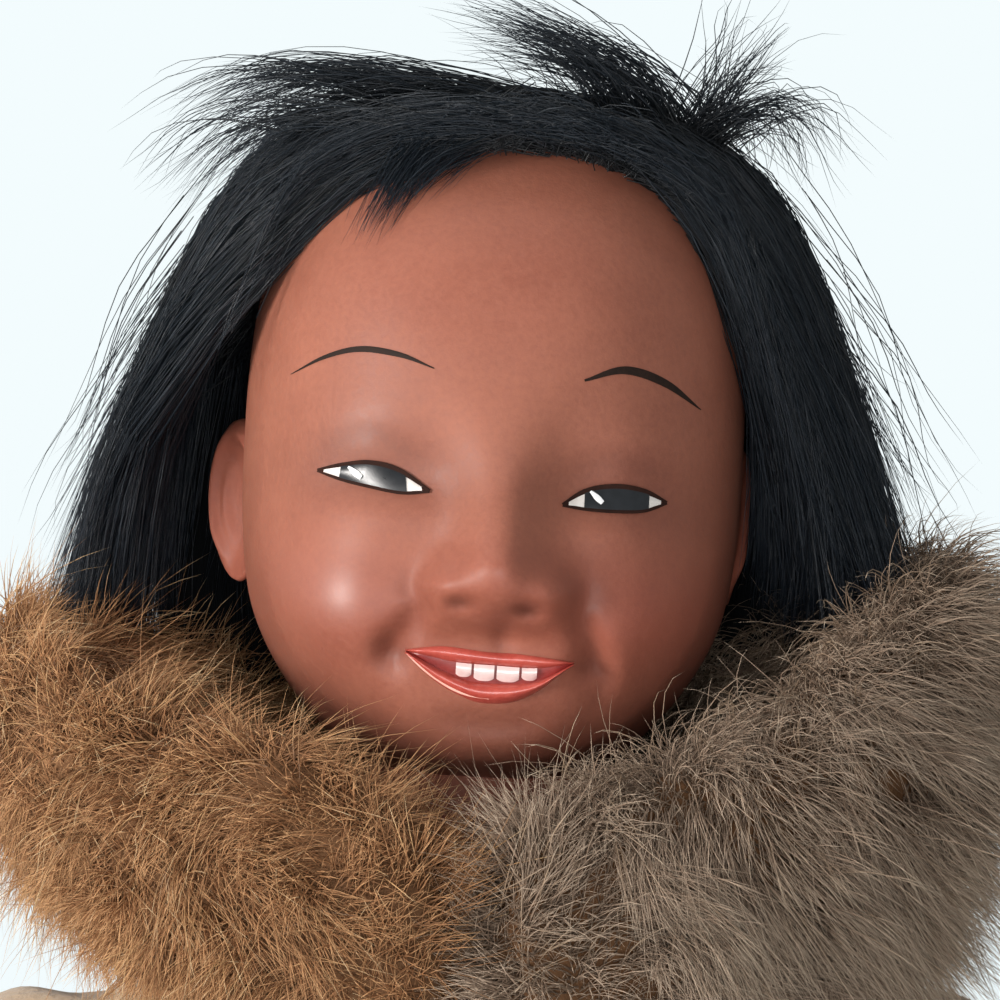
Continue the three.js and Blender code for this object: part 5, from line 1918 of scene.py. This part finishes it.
@dataclass
class Parka:
    """The cream hide parka: body, sewn hem band, fur hem, sleeves, cuffs and mittens."""

    outline: Knots = ((160.0, 49.0, 39.0, 39.0), (190.0, 48.0, 38.0, 38.0), (215.0, 44.0, 36.0, 34.0),
                      (245.0, 40.0, 33.0, 29.0), (268.0, 38.8, 30.0, 27.0), (282.0, 37.0, 27.0, 25.5))
    hem_side: float = 180.0
    hem_slope: float = 0.27
    shoulder: float = 280.0
    arm_across: float = 55.2
    arm_spread: float = math.radians(13.0)
    hem_reach: float = 39.0
    sleeve_radius: float = 14.5
    band_edges: Span = (11.0, 19.0)
    band_stitches: Span = (10.0, 20.0)
    side_seam: Span = (22.0, 76.0)
    diamonds: int = 36
    diamond_height: float = 15.0
    diamond_half_turn: float = 0.026
    diamond_half_tall: float = 1.35
    sleeve_band: Span = (60.0, 66.0)
    sleeve_stitches: Span = (68.0, 58.4)
    mitten_seam: Span = (94.0, 114.0)
    mitten_radius: float = 12.0

    def around(self, angle: Array, above_hem: Array) -> Array:
        """Finds points just outside the parka, by their height above the hem.

        Args:
            angle: Angles from the front.
            above_hem: Heights above the hem.

        Returns:
            Points in the CAD's frame.
        """
        deep = -self.hem_reach * np.cos(angle)
        up = self.hem_side - self.hem_slope * deep + above_hem
        half = eased(up, self.outline, 1)
        reach = np.where(np.cos(angle) > 0.0, eased(up, self.outline, 2), eased(up, self.outline, 3))
        return points_at(half * np.sin(angle), -reach * np.cos(angle), up)

    def along_arm(self, side: Side, along: Array, angle: Array, radius: float) -> Array:
        """Finds points round an arm.

        Args:
            side: Which arm.
            along: Distances from the shoulder.
            angle: Angles round the arm from the front.
            radius: Distance from the arm's line.

        Returns:
            Points in the CAD's frame.
        """
        out = radius * np.sin(angle)
        across = self.arm_across + along * math.sin(self.arm_spread) + out * math.cos(self.arm_spread)
        up = self.shoulder - along * math.cos(self.arm_spread) + out * math.sin(self.arm_spread)
        return points_at(side.value * across, -radius * np.cos(angle), up)

    def body_folds(self, points: Array) -> Array:
        """Finds the drape of the body.

        Args:
            points: Points of the body.

        Returns:
            Moves along the normals.
        """
        low = smooth(270.0, 190.0, points[:, 2])
        drape = waves(points * np.array([1.0, 1.0, 0.06]), 26.0, 5)
        return 1.1 * low * drape + 0.22 * waves(points, 22.0, 7)

    def sleeve_folds(self, points: Array) -> Array:
        """Finds the folds across a sleeve.

        Args:
            points: Points of the sleeve.

        Returns:
            Moves along the normals.
        """
        along = (self.shoulder - points[:, 2]) / math.cos(self.arm_spread)
        middle = smooth(8.0, 26.0, along) * smooth(74.0, 50.0, along)
        rings = np.sin(2.0 * math.pi * along / 9.0 + 1.8 * waves(points, 24.0, 9))
        return 0.6 * middle * rings + 0.3 * waves(points, 9.0, 10)

    def build(self) -> None:
        """Builds the parka."""
        body = dress(soften("parka_body", "parka", 1.3, 6, self.body_folds), HIDE, "torso")
        turn = np.linspace(-math.pi - 0.05, math.pi + 0.05, 181)
        band = self.around(turn[None, :], np.linspace(*self.band_edges, 7)[:, None])
        patches("parka_band", "torso", body, band[None], 0.7, HIDE_BAND)
        self.build_diamonds(body)
        for word, height in zip(("low", "high"), self.band_stitches):
            ring = self.around(np.linspace(-math.pi, math.pi, 88), height)
            stitch(f"parka_stitch_{word}", "torso", body, ring)
        for side in Side:
            seam = self.around(side.value * math.pi / 2.0, np.linspace(*self.side_seam, 16))
            stitch(f"parka_side_stitch_{side.word}", "torso", body, seam)
            self.build_armhole(side)
            self.build_sleeve(side)
        Trim("parka_hem_fur", "torso", 1180, (6.5, 9.5), 101, (0.0, 0.0, -0.7)).build()

    def build_diamonds(self, body: Object) -> None:
        """Sews the row of small pale diamonds onto the hem band.

        Args:
            body: The parka's body.
        """
        turns = (np.arange(self.diamonds) + 0.5) * math.pi / (self.diamonds / 2) - math.pi
        side = np.linspace(-1.0, 1.0, 5)
        first, second = np.meshgrid(side, side, indexing="ij")
        angle = turns[:, None, None] + self.diamond_half_turn * (first + second)
        rise = self.diamond_height + self.diamond_half_tall * (first - second)
        patches("parka_diamonds", "torso", body, self.around(angle, rise), 1.15, HIDE)

    def build_armhole(self, side: Side) -> None:
        """Builds the gathered band of the armhole, round the shoulder's line so that the sleeve turns in it.

        Args:
            side: Which arm.
        """
        knots = ((30.0, 13.0), (35.0, 15.6), (38.5, 16.6), (41.5, 16.2), (44.0, 15.2), (45.0, 13.0))
        out = np.linspace(knots[0][0], knots[-1][0], 40)[:, None]
        turn = all_round(120)[None, :]
        gather = 0.25 * np.sin(34.0 * turn) * smooth(44.0, 38.0, out)
        radius = eased(out[:, 0], knots)[:, None] + gather
        grid = points_at(side.value * out, -radius * np.cos(turn), self.shoulder + radius * np.sin(turn))
        dress(add_grid(f"parka_armhole_{side.word}", grid, True), HIDE, "torso")

    def build_sleeve(self, side: Side) -> None:
        """Builds one sleeve with its band, its cuff and its mitten.

        Args:
            side: Which arm.
        """
        word = side.word
        arm = f"arm_{word}"
        sleeve = dress(soften(f"sleeve_{word}", f"sleeve_hide_{word}", 1.2, 5, self.sleeve_folds), HIDE, arm)
        turn = np.linspace(-math.pi - 0.12, math.pi + 0.12, 61)
        along = np.linspace(*self.sleeve_band, 6)
        band = self.along_arm(side, along[:, None], turn[None, :], self.sleeve_radius)
        patches(f"sleeve_band_{word}", arm, sleeve, band[None], 0.6, HIDE_BAND)
        for name, place in zip(("low", "high"), self.sleeve_stitches):
            ring = self.along_arm(side, place, np.linspace(-math.pi, math.pi, 30), self.sleeve_radius)
            stitch(f"sleeve_stitch_{name}_{word}", arm, sleeve, ring)
        Trim(f"cuff_fur_{word}", arm, 460, (5.0, 7.5), 121 + side.value).build()
        mitten = soften(f"mitten_{word}", f"mitten_hide_{word}", 0.8, 4, rough(0.18, 6.0, 12))
        dress(mitten, BOOT, arm)
        seam = self.along_arm(side, np.linspace(*self.mitten_seam, 11), math.pi, self.mitten_radius)
        stitch(f"mitten_stitch_{word}", arm, mitten, seam, 1.7)


@dataclass
class Lower:
    """The dark trousers and the hide boots with puckered toes, soles, ties and fur tops."""

    leg_across: float = 28.0
    pelvis_half: float = 11.0
    tie_height: float = 38.0
    sole_top: float = 4.5
    leg_radius: float = 17.0
    ankle_radius: float = 15.0
    boot_half_long: float = 32.0
    boot_forward: float = 8.0
    heel: float = 24.0
    trouser_seam: Span = (90.0, 150.0)
    heel_seam: Span = (12.0, 58.0)
    rim_rise: float = 3.0
    twists: float = 26.0
    ply_gap: float = 0.55
    ply_radius: float = 0.62

    def build(self) -> None:
        """Builds the trousers and both boots."""
        seat = soften("trouser_seat", "trouser_seat_hide", 1.0, 4, rough(0.3, 10.0, 14), self.crotch)
        dress(seat, TROUSER, "torso")
        for side in Side:
            self.build_leg(side)

    def crotch(self, points: Array) -> Array:
        """Draws the seat's lower edge down beside the legs, so that it arches between them.

        Args:
            points: Points of the seat.

        Returns:
            Their new places.
        """
        aside = np.abs(points[:, 0])
        between = aside < self.pelvis_half + 1.0
        edge = np.clip(aside / self.pelvis_half, 0.0, 1.0) ** 3
        low = smooth(163.0, 148.0, points[:, 2]) * between
        wider = 0.15 * smooth(10.0, 16.0, np.abs(points[:, 1])) * between + 0.13 * low * edge
        down = (6.5 * edge - 1.5) * low
        return points_at(points[:, 0] * (1.0 + wider), points[:, 1] * (1.0 - 0.1 * low), points[:, 2] - down)

    def trouser_folds(self, points: Array) -> Array:
        """Finds the folds of a trouser leg, closest together above the boot.

        Args:
            points: Points of the leg.

        Returns:
            Moves along the normals.
        """
        low = smooth(140.0, 84.0, points[:, 2])
        rings = np.sin(2.0 * math.pi * points[:, 2] / 12.0 + 2.0 * waves(points, 30.0, 15))
        return 0.8 * low * rings + 0.4 * waves(points, 12.0, 16)

    def boot_folds(self, points: Array) -> Array:
        """Finds the puckers round the toe and heel and the creases of the ankle.

        Args:
            points: Points of the boot.

        Returns:
            Moves along the normals.
        """
        across = np.abs(points[:, 0]) - self.leg_across
        angle = np.arctan2(across, -(points[:, 1] + self.boot_forward))
        low = smooth(17.0, 7.0, points[:, 2])
        ends = smooth(1.7, 1.1, np.abs(angle)) + 0.5 * smooth(2.4, 2.8, np.abs(angle))
        puckers = -np.abs(np.sin(13.0 * angle)) * low * ends
        ankle = np.exp(-0.5 * ((points[:, 2] - 30.0) / 8.0) ** 2)
        return 0.75 * puckers + 0.45 * ankle * waves(points, 9.0, 17) + 0.2 * waves(points, 6.0, 18)

    def build_leg(self, side: Side) -> None:
        """Builds one trouser leg and boot.

        Args:
            side: Which leg.
        """
        word = side.word
        leg = f"leg_{word}"
        middle = side.value * self.leg_across
        trouser = soften(f"trouser_leg_{word}", f"trouser_hide_{word}", 1.1, 3, self.trouser_folds)
        dress(trouser, TROUSER, leg)
        seam = points_at(side.value * (self.leg_across + self.leg_radius), 0.0,
                         np.linspace(*self.trouser_seam, 20))
        stitch(f"trouser_stitch_{word}", leg, trouser, seam)
        boot = dress(soften(f"boot_upper_{word}", f"boot_{word}", 0.9, 3, self.boot_folds), BOOT, leg)
        sole = soften(f"boot_sole_{word}", f"boot_sole_hide_{word}", 0.7, 2, rough(0.12, 4.0, 19))
        dress(sole, SOLE, leg)
        turn = np.linspace(-math.pi, math.pi, 46)
        rim = points_at(middle + self.ankle_radius * np.sin(turn),
                        -self.boot_forward - self.boot_half_long * np.cos(turn),
                        self.sole_top + self.rim_rise)
        stitch(f"boot_stitch_{word}", leg, boot, rim)
        back = points_at(middle, self.heel, np.linspace(*self.heel_seam, 12))
        stitch(f"boot_back_stitch_{word}", leg, boot, back)
        self.build_tie(side, boot)
        Trim(f"boot_fur_{word}", leg, 720, (5.0, 8.0), 141 + side.value).build()

    def build_tie(self, side: Side, boot: Object) -> None:
        """Builds the twisted tie that is sewn round the ankle.

        Args:
            side: Which boot.
            boot: The boot's upper.
        """
        turn = np.linspace(-math.pi, math.pi, 180)
        middle = side.value * self.leg_across
        guess = points_at(middle + self.ankle_radius * np.sin(turn), -self.ankle_radius * np.cos(turn),
                          self.tie_height)
        ring, normals = lay_on(boot, guess, 0.9)
        twist = self.twists * turn[:, None]
        upward = np.array([0.0, 0.0, 1.0])
        plies = [ring + self.ply_gap * (np.cos(twist + phase) * normals + np.sin(twist + phase) * upward)
                 for phase in (0.0, math.pi)]
        tie = add_tubes(f"boot_tie_cord_{side.word}", np.stack(plies), self.ply_radius, 8)
        dress(tie, HIDE_BAND, f"leg_{side.word}")
        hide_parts(f"boot_tie_{side.word}")


@dataclass
class Inside:
    """The strung works that the clothes and the wig hide."""

    finishes: tuple[tuple[Finish, tuple[str, ...]], ...] = (
        # The body parts take the dark plaster, which shows as painted shade in gaps between the clothes.
        (BODY_PLASTER_GAP_SHADE, ("torso_front", "torso_back", "arm_left", "arm_right", "leg_left", "leg_right")),
        (ELASTIC, ("neck_elastic", "arm_elastic", "leg_elastic")),
        (FELT, ("neck_liner", "crown_pate")),
        (WOOD, ("neck_button",)),
        (STEEL, ("arm_washer_left", "arm_washer_right", "leg_washer_left", "leg_washer_right")))
    cap_tuck: float = 4.0

    def build(self) -> None:
        """Finishes the inner CAD nodes and softens the wig's cap and the collar's lining."""
        for finish, names in self.finishes:
            for node in names:
                finish.put_on(frame["nodes"][node])
        dress(soften("wig_cap", "wig_cap_net", 0.8, 2, rough(0.1, 5.0, 21), self.tuck), WIG_NET, "head")
        dress(soften("collar_lining", "collar_lining_cloth", 0.8, 2, rough(0.15, 8.0, 22)), LINING, "torso")

    def tuck(self, points: Array) -> Array:
        """Draws the cap's corner in over the bare ear, where no hair hides it.

        Args:
            points: Points in the CAD's frame.

        Returns:
            The points' new places.
        """
        up = points[:, 2] - NECK_HEIGHT
        ahead = ear_edge(up) - points[:, 1]
        corner = smooth(-2.0, 2.0, ahead) * smooth(76.0, 70.0, up) * (points[:, 0] < 0.0)
        return points + np.array([self.cap_tuck, 0.0, 0.0]) * corner[:, None]


# Stage


@dataclass(frozen=True)
class Lamp:
    """A soft round light: its place, what it points at, its diameter, its watts and its colour."""

    name: str
    place: Place
    target: Place
    size: float
    power: float
    colour: Colour

    def hang(self) -> None:
        """Hangs the light."""
        light = bpy.data.lights.new(self.name, "AREA")
        light.energy = self.power
        light.shape = "DISK"
        light.size = self.size * MM
        light.color = self.colour
        lamp = link(self.name, light)
        lamp.location = Vector(self.place) * MM
        lamp.rotation_euler = (Vector(self.target) - Vector(self.place)).to_track_quat("-Z", "Y").to_euler()


@dataclass
class Studio:
    """Pale floor and surroundings, soft light from the viewer's left, and the camera."""

    aim: Place = (3.0, 0.0, 354.8)
    distance: float = 930.0
    frame_width: float = 120.0
    face_plane: float = -20.0
    ambient: float = 0.3
    sensor_width: float = 36.0
    floor_half: float = 1500.0
    floor_height: float = -0.2
    lamps: tuple[Lamp, ...] = (
        Lamp("key", (-780.0, -560.0, 390.0), (0.0, -20.0, 345.0), 320.0, 10.4, (1.0, 0.96, 0.92)),
        Lamp("fill", (0.0, -950.0, 270.0), (0.0, -20.0, 325.0), 420.0, 4.8, (1.0, 0.98, 0.97)),
        Lamp("top", (-150.0, 100.0, 950.0), (0.0, 0.0, 350.0), 500.0, 2.5, (1.0, 1.0, 1.0)))

    def build(self) -> None:
        """Builds the stage."""
        bpy.context.scene.view_settings.view_transform = "Standard"
        self.floor()
        for lamp in self.lamps:
            lamp.hang()
        self.sky()
        self.camera()

    def floor(self) -> None:
        """Lays the floor."""
        side = np.linspace(-self.floor_half, self.floor_half, 9)
        across, deep = np.meshgrid(side, side)
        floor = add_grid("floor", points_at(across, deep, self.floor_height), False)
        finish = FloorFinish("pale_floor", "", shade(186, 190, 192), shade(194, 198, 200), cloud=3.0,
                             grain=60.0, height=0.00005, roughness=0.9, specular=0.1, around=SKY)
        finish.put_on(floor)

    def sky(self) -> None:
        """Builds the pale backdrop that the camera sees and the weaker light that it sheds."""
        world = bpy.data.worlds.new("studio")
        bpy.context.scene.world = world
        world.use_nodes = True
        world.node_tree.nodes.clear()
        nodes = Nodes(world.node_tree)
        seen = nodes.add("ShaderNodeBackground", {"Color": SKY, "Strength": 1.0}).outputs[0]
        shed = nodes.add("ShaderNodeBackground", {"Color": SKY, "Strength": self.ambient}).outputs[0]
        direct = nodes.add("ShaderNodeLightPath").outputs["Is Camera Ray"]
        both = nodes.add("ShaderNodeMixShader", {0: direct, 1: shed, 2: seen}).outputs[0]
        nodes.add("ShaderNodeOutputWorld", {"Surface": both})

    def camera(self) -> None:
        """Sets the camera level in front of the face."""
        lens = bpy.data.cameras.new("camera")
        lens.sensor_width = self.sensor_width
        lens.lens = self.sensor_width * (self.distance + self.face_plane) / self.frame_width
        camera = link("camera", lens)
        camera.location = Vector((self.aim[0], -self.distance, self.aim[2])) * MM
        camera.rotation_euler = (math.radians(90.0), 0.0, 0.0)
        bpy.context.scene.camera = camera


def main() -> None:
    """Builds the doll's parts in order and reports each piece."""
    logging.basicConfig(level=logging.INFO)
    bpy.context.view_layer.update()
    head = Head()
    for part in (head, Wig(head), Collar(), Parka(), Lower(), Inside(), Studio()):
        known = set(bpy.data.objects.keys())
        part.build()
        for name in sorted(set(bpy.data.objects.keys()) - known):
            LOG.info("%s: %s", type(part).__name__, name)


if __name__ == "__main__":
    main()
